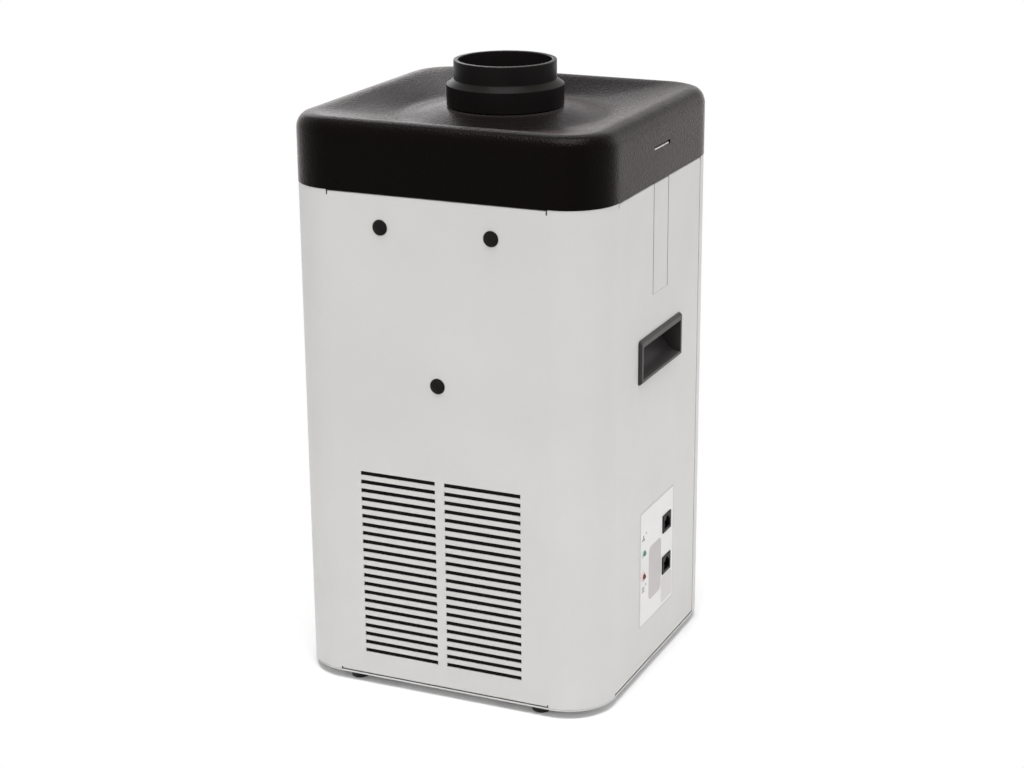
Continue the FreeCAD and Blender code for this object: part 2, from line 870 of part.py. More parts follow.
def grip_offset():
    """Middle of the opening above the middle of the bezel."""
    return (S.grip_bar_bottom - S.grip_bar_top) / 2


def grip(label, turn):
    """Bezel outside the wall and a wedge-shaped hand recess behind it."""
    body = new_body(label)
    bezel = facing_right(body)
    rounded_rectangle(bezel, S.grip_width, S.grip_rise, S.grip_corner)
    pad(body, bezel, S.grip_proud)

    face = S.grip_proud.number
    chamfer(body, S.grip_proud * 0.6, lambda edge: sides(edge, "X", face))

    low = grip_offset() - grip_inner_rise() / 2
    high = grip_offset() + grip_inner_rise() / 2
    shell = facing_front(body)
    outline(shell, [
        (0, low - S.grip_wall), (0, high + S.grip_wall), (-S.grip_depth, high + S.grip_wall),
        (-S.grip_depth, high - S.grip_wall), (-3 * S.grip_wall, low - S.grip_wall),
    ])
    pad(body, shell, grip_inner_width() + 2 * S.grip_wall, both=True)
    hollow = facing_front(body)
    slope_foot = -2 * S.grip_wall
    outline(hollow, [
        (2 * S.grip_proud, low), (2 * S.grip_proud, high), (S.grip_wall - S.grip_depth, high),
        (S.grip_wall - S.grip_depth, high - S.grip_wall), (slope_foot, low),
    ])
    pocket(body, hollow, grip_inner_width(), both=True)
    fillet(body, S.grip_scoop,
           lambda edge: sides(edge, "X", slope_foot.number) and sides(edge, "Z", low.number))
    seat(body, turn * HALF_WIDTH, 0, GRIP_LEVEL, Vector(0, 0, 1), 0 if turn > 0 else 180)
    return keep(body, label)


# ---------------------------------------------------------------- latches

def latch(label, turn):
    """Spring tongue of the wall: it steps in under the lid and ends in the tab behind its slot."""
    body = new_body(label)
    sheet = S.wall_sheet
    top = S.tongue_drop - S.fit_gap
    tip = -(S.lid_wall - S.lid_proud + S.tab_clearance)
    riser = tip - S.tab_length
    tab = S.tongue_drop + S.tab_slot_rise - S.tab_slot_height / 2
    profile = facing_front(body)
    outline(profile, [
        (0, S.hinge_gap), (0, top), (riser, top), (riser, tab), (tip, tab), (tip, tab + sheet),
        (riser - sheet, tab + sheet), (riser - sheet, top - sheet), (-sheet, top - sheet),
        (-sheet, S.hinge_gap),
    ])
    pad(body, profile, S.tongue_width, both=True)

    def outer_bend(edge):
        return runs_along(edge, "Y") and sides(edge, "X", 0) and sides(edge, "Z", top.number)

    fillet(body, S.bend_radius, outer_bend)
    seat(body, turn * HALF_WIDTH, 0, TONGUE_ROOT, Vector(0, 0, 1), 0 if turn > 0 else 180)
    return keep(body, label)


# ---------------------------------------------------------------- lid

def dished_block(name, inset, low):
    """Rounded block with a dished top and a raised cone round the duct; inset moves every face in."""
    body = new_body(name)
    width = S.body_width + 2 * (S.lid_proud - inset)
    depth = S.body_depth + 2 * (S.lid_proud - inset)
    top = CREST - inset
    shoulder = S.shoulder_radius - inset
    plan = flat(body, low)
    rounded_rectangle(plan, width, depth, S.corner_radius + S.lid_proud - inset)
    pad(body, plan, top - low)
    fillet(body, shoulder, lambda edge: sides(edge, "Z", top.number))

    land = shoulder + S.rim_land
    half_x, half_y = width / 2 - land, depth / 2 - land
    rim = flat(body, top)
    rounded_rectangle(rim, 2 * half_x, 2 * half_y, S.corner_radius + S.lid_proud - inset - land)
    floor = flat(body, VALLEY - inset)
    octant_circle(floor, S.dish_radius)
    dish = body.newObject("PartDesign::SubtractiveLoft", f"{name}_dish")
    dish.Profile = rim
    dish.Sections = [floor]
    dish.Ruled = True
    finish_feature(body, dish)

    cone = facing_front(body)
    rooted = VALLEY - inset - S.lid_wall / 2
    outline(cone, [
        (0, rooted), (S.dish_radius, rooted), (S.dish_radius, VALLEY - inset),
        (S.cone_top_radius, SEAT - inset), (0, SEAT - inset),
    ])
    spin(body, cone)
    fillet(body, S.rim_round - inset,
           lambda edge: sides(edge, "Z", top.number) and within(edge, half_x, half_y))
    fillet(body, S.valley_round + inset, lambda edge: sides(edge, "Z", (VALLEY - inset).number))
    return body


SIDE_LEAN = 30      # degrees each way that a side's share of the dish's circle spans


def octant_circle(sketch, radius):
    """Circle in eight arcs, which meet the straight and round stretches of a rounded rectangle."""
    path = []
    for quarter in range(4):
        for lean in (-SIDE_LEAN, SIDE_LEAN):
            angle = math.radians(90 * quarter + lean)
            path.append((radius * math.cos(angle), radius * math.sin(angle)))
            path.append(Bend((0, 0), radius))
    outline(sketch, path)


def lid():
    """Moulded lid: the outer block less a core, with a plenum wall left between the two."""
    block = dished_block("lid_block", as_size(0), WRAP_TOP)
    hole = flat(block, SEAT)
    circle(hole, S.duct_radius + S.fit_gap)
    pocket(block, hole)
    slot = facing_right(block, HALF_WIDTH + S.lid_proud)
    rectangle(slot, S.tab_slot_length, S.tab_slot_height, 0, WRAP_TOP + S.tab_slot_rise)
    cut = pocket(block, slot, S.lid_wall * 1.5)
    mirror_across(block, cut, "YZ_Plane")

    core = dished_block("lid_core", S.lid_wall, WRAP_TOP - S.lid_wall)
    ring = flat(core, CASING_TOP + S.lid_wall)
    outer = plenum_width()
    rounded_rectangle(ring, outer, outer, S.casing_corner)
    rounded_rectangle(ring, outer - 2 * S.plenum_wall, outer - 2 * S.plenum_wall,
                      S.casing_corner - S.plenum_wall)
    pocket(core, ring, back=True)

    moulding = DOC.addObject("Part::Cut", "lid")
    moulding.Base = block
    moulding.Tool = core
    return keep(moulding, "lid")


def plenum_width():
    return CASING_WIDTH - 2 * S.plenum_inset


def lid_gasket():
    """Foam strip between the plenum wall and the filter's upper lip."""
    body = new_body("lid_gasket")
    plan = flat(body, CASING_TOP)
    outer = CASING_WIDTH - 2 * S.gasket_inset
    rounded_rectangle(plan, outer, outer, S.casing_corner)
    rounded_rectangle(plan, outer - S.gasket_width, outer - S.gasket_width,
                      S.casing_corner - S.gasket_width / 2)
    pad(body, plan, S.lid_wall)
    return keep(body, "lid_gasket")


def inlet_collar():
    """Duct spigot on a stepped ring; its neck passes through the lid."""
    body = new_body("inlet_collar")
    profile = facing_front(body)
    bore = S.duct_radius - S.duct_wall
    ring_top = SEAT + S.collar_height
    spigot = ring_top + S.collar_step
    neck = SEAT - S.lid_wall - S.nut_height - S.neck_beyond
    outline(profile, [
        (bore, neck), (S.duct_radius, neck), (S.duct_radius, SEAT),
        (S.collar_radius - S.collar_bevel, SEAT), (S.collar_radius, SEAT + S.collar_bevel),
        (S.collar_radius, ring_top), (S.duct_radius, spigot),
        (S.duct_radius, spigot + S.duct_length), (bore, spigot + S.duct_length),
    ])
    spin(body, profile)
    top = (spigot + S.duct_length).number
    fillet(body, S.spigot_round, lambda edge: sides(edge, "Z", top))
    return keep(body, "inlet_collar")


def collar_nut():
    """Ring nut that clamps the collar from inside the lid, with grip notches round its edge."""
    body = new_body("collar_nut")
    inner = S.duct_radius + S.fit_gap
    outer = inner + S.nut_width
    top = SEAT - S.lid_wall
    plan = flat(body, top - S.nut_height)
    circle(plan, outer)
    circle(plan, inner)
    pad(body, plan, S.nut_height)
    notch = flat(body, top)
    rectangle(notch, S.nut_width / 2, S.nut_width, outer, 0)
    first = pocket(body, notch)
    repeat_round(body, first, S.nut_notches)
    return keep(body, "collar_nut")


# ---------------------------------------------------------------- filter cassette

def filter_shelf():
    """Bulkhead between filter and fan, with edges turned down against the walls."""
    body = new_body("filter_shelf")
    plan = flat(body, SHELF_BOTTOM)
    rounded_rectangle(plan, 2 * INNER_X, 2 * INNER_Y, S.corner_radius + S.wall_sheet)
    circle(plan, S.nozzle_mouth)
    for x, y in nozzle_screw_places() + bridge_screw_places():
        circle(plan, S.screw_radius, x, y)
    pad(body, plan, S.shelf_sheet)
    edges = flat(body, SHELF_BOTTOM)
    half_x = INNER_X - S.corner_radius - S.relief_inset
    half_y = INNER_Y - S.corner_radius - S.relief_inset
    beside_grip = S.grip_width / 2 + S.fit_gap
    for side in (-1, 1):
        rectangle(edges, 2 * half_x, S.shelf_sheet, 0, side * (INNER_Y - S.shelf_sheet / 2))
        for end in (-1, 1):
            rectangle(edges, S.shelf_sheet, half_y - beside_grip,
                      side * (INNER_X - S.shelf_sheet / 2), end * (half_y + beside_grip) / 2)
    pad(body, edges, S.shelf_flange, back=True)
    return keep(body, "filter_shelf")


def square_ring(label, level, outer, wall, height, corner):
    body = new_body(label)
    plan = flat(body, level)
    rounded_rectangle(plan, outer, outer, corner)
    rounded_rectangle(plan, outer - 2 * wall, outer - 2 * wall, corner / 2)
    pad(body, plan, height)
    return keep(body, label)


def filter_casing():
    """Square steel tube with a lip turned in at each end."""
    body = new_body("filter_casing")
    inner = CASING_WIDTH - 2 * S.shelf_sheet
    throat = CASING_WIDTH - 2 * S.casing_lip
    wall = flat(body, CASING_BOTTOM)
    rounded_rectangle(wall, CASING_WIDTH, CASING_WIDTH, S.casing_corner)
    rounded_rectangle(wall, inner, inner, S.casing_corner - S.shelf_sheet)
    pad(body, wall, S.casing_height)
    for level, back in ((CASING_BOTTOM, False), (CASING_TOP, True)):
        lip = flat(body, level)
        rounded_rectangle(lip, inner, inner, S.casing_corner - S.shelf_sheet)
        rounded_rectangle(lip, throat, throat, S.casing_corner / 2)
        pad(body, lip, S.shelf_sheet, back=back)
    return keep(body, "filter_casing")


def media_width():
    return CASING_WIDTH - 2 * S.shelf_sheet - 2 * S.fit_gap


def grid(label, level):
    """Sheet with square openings in rows and columns."""
    body = new_body(label)
    plan = flat(body, level)
    rounded_rectangle(plan, media_width(), media_width(), S.casing_corner - S.shelf_sheet - S.fit_gap)
    pad(body, plan, S.shelf_sheet)
    pitch = (media_width() - 2 * S.casing_lip) / S.grid_count
    corner = -pitch * (S.grid_count - 1) / 2
    opening = flat(body, level + S.shelf_sheet)
    rectangle(opening, pitch - S.grid_bar, pitch - S.grid_bar, corner, corner)
    first = pocket(body, opening)
    pattern = repeat_along(body, first, opening, "H_Axis", pitch, S.grid_count)
    pattern.Direction2 = (opening, ["V_Axis"])
    pattern.Mode2 = "Spacing"
    tie(pattern, "Offset2", pitch)
    tie(pattern, "Occurrences2", S.grid_count)
    DOC.recompute()
    return keep(body, label)


def media_block(label, low, height):
    body = new_body(label)
    plan = flat(body, low)
    rounded_rectangle(plan, media_width(), media_width(), S.casing_corner - S.shelf_sheet - S.fit_gap)
    pad(body, plan, height)
    return keep(body, label)


def hepa_pleats(low):
    """One folded sheet: a pleat, repeated across the cassette."""
    body = new_body("hepa_pleats")
    pitch = (media_width() - S.casing_lip) / S.pleat_count
    half = pitch / 2
    first_x = -pitch * (S.pleat_count - 1) / 2
    rise = S.pleat_sheet * S.pleat_height / half
    fold = facing_front(body)
    outline(fold, [
        (first_x - half, low), (first_x - half, low + rise), (first_x, low + S.pleat_height),
        (first_x + half, low + rise), (first_x + half, low),
        (first_x, low + S.pleat_height - rise),
    ])
    first = pad(body, fold, media_width() - S.casing_corner, both=True)
    repeat_along(body, first, fold, "H_Axis", pitch, S.pleat_count)
    return keep(body, "hepa_pleats")


def filter_cassette():
    sheet = S.shelf_sheet
    filter_casing()
    carbon_low = CASING_BOTTOM + 2 * sheet
    mat_low = CASING_TOP - 2 * sheet - S.mat_height
    pleat_low = mat_low - S.pleat_height
    grid("carbon_grid", CASING_BOTTOM + sheet)
    media_block("carbon_bed", carbon_low, pleat_low - carbon_low)
    hepa_pleats(pleat_low)
    media_block("prefilter_mat", mat_low, S.mat_height)
    grid("prefilter_grid", CASING_TOP - 2 * sheet)


# ---------------------------------------------------------------- fan

NOZZLE_RIM = S.nozzle_mouth + S.nozzle_flange
NOZZLE_LOW = SHELF_BOTTOM - S.nozzle_depth
EYE_TOP = NOZZLE_LOW + S.nozzle_overlap
BACKPLATE_LOW = EYE_TOP - S.impeller_height
EYE_RADIUS = S.nozzle_throat + S.shelf_sheet + S.eye_gap
ROTOR_LOW = BACKPLATE_LOW - S.rotor_drop
ROTOR_TOP = ROTOR_LOW + S.rotor_height
FLANGE_TOP = ROTOR_LOW - S.motor_flange_sheet
FLANGE_LOW = FLANGE_TOP - S.motor_flange_sheet
BRIDGE_TOP = FLANGE_LOW - S.damper_height
BRIDGE_SPAN = CASING_WIDTH + 2 * S.bridge_reach - S.bridge_foot
IMPELLER_RADIUS = BRIDGE_SPAN / 2 - S.bridge_sheet - S.fan_gap
BLADE_CENTRE = S.blade_radius - S.blade_inset
TUBE_TOP = ROTOR_TOP - S.rotor_wall - S.air_gap * 2


def nozzle_screw_places():
    radius = (S.nozzle_mouth + NOZZLE_RIM) / 2
    return [(radius * math.cos(math.radians(angle)), radius * math.sin(math.radians(angle)))
            for angle in (0, 90, 180, 270)]


def bridge_screw_places():
    x = S.bridge_width / 3
    y = BRIDGE_SPAN / 2 + S.bridge_foot / 2
    return [(i * x, j * y) for i in (-1, 1) for j in (-1, 1)]


def inlet_nozzle():
    """Bell mouth that hands the air from the shelf to the impeller's eye."""
    body = new_body("inlet_nozzle")
    sheet = S.shelf_sheet
    curve = S.nozzle_mouth - S.nozzle_throat
    centre = (S.nozzle_mouth, SHELF_BOTTOM - curve)
    profile = facing_front(body)
    outline(profile, [
        (S.nozzle_throat, SHELF_BOTTOM - curve), (S.nozzle_throat, NOZZLE_LOW),
        (S.nozzle_throat + sheet, NOZZLE_LOW), (S.nozzle_throat + sheet, SHELF_BOTTOM - curve),
        Bend(centre, curve - sheet, clockwise=True),
        (S.nozzle_mouth, SHELF_BOTTOM - sheet), (NOZZLE_RIM, SHELF_BOTTOM - sheet),
        (NOZZLE_RIM, SHELF_BOTTOM), (S.nozzle_mouth, SHELF_BOTTOM), Bend(centre, curve),
    ])
    spin(body, profile)
    bores = flat(body, SHELF_BOTTOM)
    for x, y in nozzle_screw_places():
        circle(bores, S.screw_radius, x, y)
    pocket(body, bores)
    return keep(body, "inlet_nozzle")


def nozzle_screws():
    master = screw("nozzle_screw", 2 * S.shelf_sheet + S.screw_beyond)
    gather("nozzle_screws", copies(master, [(x, y, SHELF_TOP) for x, y in nozzle_screw_places()]))


def blade_outline(sketch):
    """Blade section: two concentric arcs that start and end on circles about the axis."""
    tip_radius = IMPELLER_RADIUS - S.blade_sheet
    hub = Vector(BLADE_CENTRE.number, 0, 0)
    corners = {}
    arcs = []
    for side in (-1, 1):
        radius = S.blade_radius + side * S.blade_sheet / 2
        root, tip = (blade_crossing(radius.number, limit) for limit in (S.blade_root_radius, tip_radius))
        angles = [math.atan2(p.y - hub.y, p.x - hub.x) for p in (tip, root)]
        arc = sketch.addGeometry(Part.ArcOfCircle(
            Part.Circle(hub, Vector(0, 0, 1), radius.number), angles[0], angles[1]))
        constrain(sketch, "Radius", arc, size=radius)
        pin_point(sketch, arc, 3, BLADE_CENTRE, 0)
        constrain(sketch, "Distance", -1, 1, arc, 1, size=tip_radius)
        constrain(sketch, "Distance", -1, 1, arc, 2, size=S.blade_root_radius)
        arcs.append(arc)
        corners[side] = (tip, root)
    for end, place in ((1, 0), (2, 1)):
        line = sketch.addGeometry(Part.LineSegment(corners[-1][place], corners[1][place]))
        constrain(sketch, "Coincident", line, 1, arcs[0], end)
        constrain(sketch, "Coincident", line, 2, arcs[1], end)


def blade_crossing(arc_radius, limit):
    """Crossing of an arc about a blade's centre with a circle about the axis."""
    centre = BLADE_CENTRE.number
    x = (limit.number ** 2 + centre ** 2 - arc_radius ** 2) / (2 * centre)
    return Vector(x, math.sqrt(limit.number ** 2 - x ** 2), 0)


def impeller():
    """Backward-curved wheel: backplate, blades trimmed to the shroud's slope, and shroud."""
    body = new_body("impeller")
    sheet = S.impeller_sheet
    lip = S.impeller_height / 6
    rim_top = EYE_TOP - 2 * lip
    plate = facing_front(body)
    hub = S.rotor_radius + S.fit_gap
    outline(plate, [
        (hub, BACKPLATE_LOW), (IMPELLER_RADIUS, BACKPLATE_LOW),
        (IMPELLER_RADIUS, BACKPLATE_LOW + sheet), (hub, BACKPLATE_LOW + sheet),
    ])
    spin(body, plate)
    section = flat(body, BACKPLATE_LOW + sheet / 2)
    blade_outline(section)
    blade = pad(body, section, S.impeller_height - sheet)
    repeat_round(body, blade, S.blade_count)
    trim = facing_front(body)
    beyond = IMPELLER_RADIUS + sheet
    outline(trim, [
        (S.blade_root_radius - sheet, EYE_TOP - lip), (EYE_RADIUS, EYE_TOP - lip - sheet / 2),
        (beyond, rim_top - sheet / 2), (beyond, EYE_TOP + sheet),
        (S.blade_root_radius - sheet, EYE_TOP + sheet),
    ])
    spin(body, trim, "PartDesign::Groove")
    shroud = facing_front(body)
    outline(shroud, [
        (EYE_RADIUS, EYE_TOP), (EYE_RADIUS, EYE_TOP - lip - sheet),
        (IMPELLER_RADIUS, rim_top - sheet), (IMPELLER_RADIUS, rim_top),
        (EYE_RADIUS + sheet, EYE_TOP - lip), (EYE_RADIUS + sheet, EYE_TOP),
    ])
    spin(body, shroud)
    return keep(body, "impeller")


def rotor_cup():
    """Outer rotor: closed on top, with a shoulder under the impeller's backplate."""
    body = new_body("rotor_cup")
    inner = S.rotor_radius - S.rotor_wall
    shoulder = S.rotor_radius + 2 * S.rotor_wall
    profile = facing_front(body)
    outline(profile, [
        (S.shaft_radius, ROTOR_TOP - S.rotor_wall), (inner, ROTOR_TOP - S.rotor_wall),
        (inner, ROTOR_LOW), (S.rotor_radius, ROTOR_LOW),
        (S.rotor_radius, BACKPLATE_LOW - S.rotor_wall), (shoulder, BACKPLATE_LOW - S.rotor_wall),
        (shoulder, BACKPLATE_LOW), (S.rotor_radius, BACKPLATE_LOW),
        (S.rotor_radius, ROTOR_TOP), (S.shaft_radius, ROTOR_TOP),
    ])
    spin(body, profile)
    top = ROTOR_TOP.number
    outer = S.rotor_radius.number
    fillet(body, S.rotor_wall * 0.8,
           lambda edge: sides(edge, "Z", top) and edge.BoundBox.XMax > outer - 0.01)
    return keep(body, "rotor_cup")


def tube(label, outer, inner, low, height):
    body = new_body(label)
    plan = flat(body, low)
    circle(plan, outer)
    circle(plan, inner)
    pad(body, plan, height)
    return body


def motor():
    magnet_outer = S.rotor_radius - S.rotor_wall
    magnet_inner = magnet_outer - S.magnet_wall
    keep(tube("rotor_magnets", magnet_outer, magnet_inner, ROTOR_LOW + S.magnet_inset,
              S.rotor_height - S.rotor_wall - 2 * S.magnet_inset), "rotor_magnets")
    keep(rod("motor_shaft", S.shaft_radius, ROTOR_TOP - FLANGE_LOW, (0, 0, FLANGE_LOW)), "motor_shaft")

    body = new_body("motor_flange")
    seat_radius = S.bearing_radius + S.seat_gap
    tube_outer = S.bearing_radius + S.tube_wall
    waist = S.bearing_radius - S.bearing_ledge
    profile = facing_front(body)
    outline(profile, [
        (seat_radius, FLANGE_LOW), (S.motor_flange_radius, FLANGE_LOW),
        (S.motor_flange_radius, FLANGE_TOP), (tube_outer, FLANGE_TOP), (tube_outer, TUBE_TOP),
        (seat_radius, TUBE_TOP), (seat_radius, TUBE_TOP - S.bearing_height),
        (waist, TUBE_TOP - S.bearing_height), (waist, FLANGE_LOW + S.bearing_height),
        (seat_radius, FLANGE_LOW + S.bearing_height),
    ])
    spin(body, profile)
    keep(body, "motor_flange")

    bearing = tube("bearing", S.bearing_radius, S.shaft_radius + S.shaft_clearance, 0, S.bearing_height)
    gather("motor_bearings", copies(bearing, [
        (0, 0, FLANGE_LOW), (0, 0, TUBE_TOP - S.bearing_height)]))

    core = tube("stator_core", tube_outer + S.stator_ring, tube_outer, stator_low(), S.stator_height)
    tooth = flat(core, stator_low())
    reach = magnet_inner - S.air_gap
    foot = tube_outer + S.stator_ring / 2
    shank = S.tooth_width / 2
    pole = S.pole_width / 2
    corner = beside_axis(reach, pole)
    neck = corner - S.pole_height
    outline(tooth, [
        (foot, -shank), (neck, -shank), (neck, -pole), (corner, -pole), Bend((0, 0), reach),
        (corner, pole), (neck, pole), (neck, shank), (foot, shank),
    ])
    first = pad(core, tooth, S.stator_height)
    repeat_round(core, first, S.stator_teeth)
    keep(core, "stator_core")


def beside_axis(radius, offset):
    """How far along X a circle about the axis is reached, offset to one side of X."""
    number = math.sqrt(radius.number ** 2 - offset.number ** 2)
    return Size(number, f"sqrt({(radius * radius - offset * offset).text})")


def stator_low():
    return FLANGE_TOP + (TUBE_TOP - FLANGE_TOP - S.stator_height) / 2


def fan_bridge():
    """Folded strap that hangs the motor from the shelf."""
    body = new_body("fan_bridge")
    sheet = S.bridge_sheet
    half = BRIDGE_SPAN / 2
    toe = half + S.bridge_foot
    profile = facing_right(body)
    outline(profile, [
        (-toe, SHELF_BOTTOM), (-toe, SHELF_BOTTOM - sheet), (-half, SHELF_BOTTOM - sheet),
        (-half, BRIDGE_TOP - sheet), (half, BRIDGE_TOP - sheet), (half, SHELF_BOTTOM - sheet),
        (toe, SHELF_BOTTOM - sheet), (toe, SHELF_BOTTOM), (half - sheet, SHELF_BOTTOM),
        (half - sheet, BRIDGE_TOP), (sheet - half, BRIDGE_TOP), (sheet - half, SHELF_BOTTOM),
    ])
    pad(body, profile, S.bridge_width, both=True)
    bores = flat(body, SHELF_BOTTOM)
    for x, y in bridge_screw_places():
        circle(bores, S.screw_radius, x, y)
    pocket(body, bores, 2 * sheet)
    keep(body, "fan_bridge")
    master = screw("bridge_screw", S.bridge_sheet + S.shelf_sheet + S.screw_beyond)
    gather("bridge_screws", copies(master, [
        (x, y, SHELF_BOTTOM - sheet, *UPSIDE_DOWN) for x, y in bridge_screw_places()]))
    spread = S.bridge_width / 3
    damper = tube("damper", S.damper_radius, S.screw_radius, 0, S.damper_height)
    gather("fan_dampers", copies(damper, [
        (i * spread, j * spread, BRIDGE_TOP) for i in (-1, 1) for j in (-1, 1)]))


# ---------------------------------------------------------------- linings

def linings():
    """Exhaust mat behind the louvre and sound-absorbing foam on the left wall."""
    rise = S.slot_pitch * (S.slot_rows - 1) + 2 * S.lining_margin
    low = BASE_TOP + S.lowest_slot - S.lining_margin
    half = S.column_gap / 2 + S.slot_length + S.lining_margin
    keep(box("exhaust_mat", (-half, -INNER_Y, low), (2 * half, S.lining_thickness, rise)), "exhaust_mat")
    flat_y = HALF_DEPTH - S.corner_radius
    keep(box("acoustic_foam", (-INNER_X, -flat_y, BASE_TOP + S.flange_width),
             (S.lining_thickness * 1.5, 2 * flat_y, GRIP_LEVEL - BASE_TOP - S.grip_rise - S.flange_width)),
         "acoustic_foam")


# ---------------------------------------------------------------- controls on the right side

SOCKET_FACE = HALF_WIDTH + S.socket_proud
BOARD_FACE = SOCKET_FACE - S.socket_depth


def control_label():
    """Printed panel round the sockets and lamps."""
    body = new_body("control_label")
    plan = facing_right(body, HALF_WIDTH)
    rounded_rectangle(plan, S.label_width, S.label_rise, S.grip_corner, 0, LABEL_LEVEL)
    control_windows(plan)
    pad(body, plan, S.label_sheet)
    return keep(body, "control_label")


def signal_sockets():
    """Modular jacks: bezel outside, stepped opening for the plug and its catch."""
    body = new_body("signal_socket")
    face = facing_right(body)
    rectangle(face, S.socket_width, S.socket_rise)
    pad(body, face, S.socket_depth, back=True)
    opening = facing_right(body)
    half = S.jack_width / 2
    low = -S.jack_rise / 2 - S.jack_drop
    top = low + S.jack_rise
    step = top + S.jack_step
    roof = step + S.jack_step
    outline(opening, [
        (-half, low), (half, low), (half, top), (half / 2, top), (half / 2, step),
        (half / 3, step), (half / 3, roof), (-half / 3, roof), (-half / 3, step),
        (-half / 2, step), (-half / 2, top), (-half, top),
    ])
    pocket(body, opening, S.jack_depth)
    levels = [BASE_TOP + level for level in (S.socket_upper, S.socket_lower)]
    gather("signal_sockets", copies(body, [(SOCKET_FACE, S.socket_across, z) for z in levels]))
    wires = []
    count = SIZES["contact_count"]
    pitch = S.jack_width / (count + 3)
    for number, z in enumerate(levels):
        for place in range(count):
            y = S.socket_across + pitch * (place - (count - 1) / 2) - S.contact_width / 2
            wires.append(box(f"contact_{number}_{place}", (SOCKET_FACE - S.jack_depth, y, z + low),
                             (S.jack_depth - S.contact_inset, S.contact_width, S.contact_height)))
    gather("socket_contacts", wires)


def lamp(label, level):
    """Round-nosed lamp on two legs that reach back to the board."""
    body = new_body(label)
    nose = facing_front(body)
    radius = S.led_radius
    brim = radius + S.led_brim
    above = S.led_brim_height - S.led_body
    outline(nose, [
        (0, -S.led_body), (brim, -S.led_body), (brim, above), (radius, above), (radius, 0),
        Bend((0, 0), radius), (0, radius),
    ])
    spin(body, nose)
    legs = flat(body, -S.led_body)
    for side in (-1, 1):
        rectangle(legs, S.led_leg, S.led_leg, 0, side * S.led_leg_pitch / 2)
    pad(body, legs, lamp_face() - S.led_body - BOARD_FACE, back=True)
    seat(body, lamp_face(), -S.led_across, BASE_TOP + level, *TO_RIGHT)
    return keep(body, label)


def lamp_face():
    """Where a lamp's straight side ends and its round nose begins."""
    return HALF_WIDTH + S.label_sheet - S.led_sunk


def lamp_rings():
    """Light-coloured rings that hold the lamps in the wall."""
    body = new_body("lamp_ring")
    profile = facing_front(body)
    inner = S.led_radius + S.shaft_clearance
    sleeve = S.led_radius + S.led_ring / 2 - S.shaft_clearance
    outer = S.led_radius + S.led_ring
    behind = -S.wall_sheet - S.ring_reach
    face = S.label_sheet + S.ring_proud
    outline(profile, [
        (inner, behind), (sleeve, behind), (sleeve, S.label_sheet), (outer, S.label_sheet),
        (outer - S.fit_gap, face), (inner, face),
    ])
    spin(body, profile)
    gather("lamp_rings", copies(body, [
        (HALF_WIDTH, -S.led_across, BASE_TOP + level, *TO_RIGHT)
        for level in (S.led_upper, S.led_lower)]))


def board_hole_places():
    y = S.board_width / 2 - S.board_hole_inset
    z = S.board_rise / 2 - S.board_hole_inset
    return [(i * y, LABEL_LEVEL + j * z) for i in (-1, 1) for j in (-1, 1)]


def control_board():
    """Upright circuit board behind the sockets, on four stand-offs from the wall."""
    body = new_body("control_board")
    face = facing_right(body, BOARD_FACE)
    rounded_rectangle(face, S.board_width, S.board_rise, S.grip_corner, 0, LABEL_LEVEL)
    for y, z in board_hole_places():
        circle(face, S.screw_radius, y, z)
    pad(body, face, S.board_sheet, back=True)
    keep(body, "control_board")
    post = rod("standoff", S.post_radius, INNER_X - BOARD_FACE, (0, 0, 0))
    gather("board_standoffs", copies(post, [
        (BOARD_FACE, y, z, *TO_RIGHT) for y, z in board_hole_places()]))
    master = screw("board_screw", S.board_sheet - S.snug_gap)
    gather("board_screws", copies(master, [
        (BOARD_FACE - S.board_sheet, y, z, *TO_LEFT) for y, z in board_hole_places()]))


BOARD_CHIPS = (
    # name, front edge, lower edge, depth, width, rise: shares of the board's width
    ("relay", -0.37, 0.05, 0.16, 0.25, 0.21),
    ("processor", -0.05, -0.18, 0.02, 0.16, 0.16),
    ("driver", -0.34, -0.26, 0.04, 0.10, 0.18),
    ("plug_header", 0.05, 0.16, 0.12, 0.26, 0.10),
)


def board_chips():
    """What stands on the board's inner side, with a round reservoir capacitor."""
    unit = S.board_width
    back = BOARD_FACE - S.board_sheet
    chips = [box(name, (back - unit * depth, unit * across, LABEL_LEVEL + unit * level),
                 (unit * depth, unit * width, unit * rise))
             for name, across, level, depth, width, rise in BOARD_CHIPS]
    chips.append(rod("reservoir", unit * 0.05, unit * 0.15,
                     (back, unit * 0.29, LABEL_LEVEL - unit * 0.32), *TO_LEFT))
    gather("board_chips", chips)


# ---------------------------------------------------------------- rear panel and mains entry

PANEL_FACE = HALF_DEPTH + S.panel_sheet
INLET_LEVEL = PANEL_LEVEL - S.inlet_drop
INLET_ACROSS = PANEL_WIDTH / 2 - S.inlet_inset
SWITCH_ACROSS = INLET_ACROSS - S.switch_spacing


def panel_screw_places():
    x = (PANEL_WIDTH - S.panel_lap) / 2
    z = (S.panel_rise - S.panel_lap) / 2
    return [(i * x, PANEL_LEVEL + j * z) for i in (-1, 0, 1) for j in (-1, 1)]


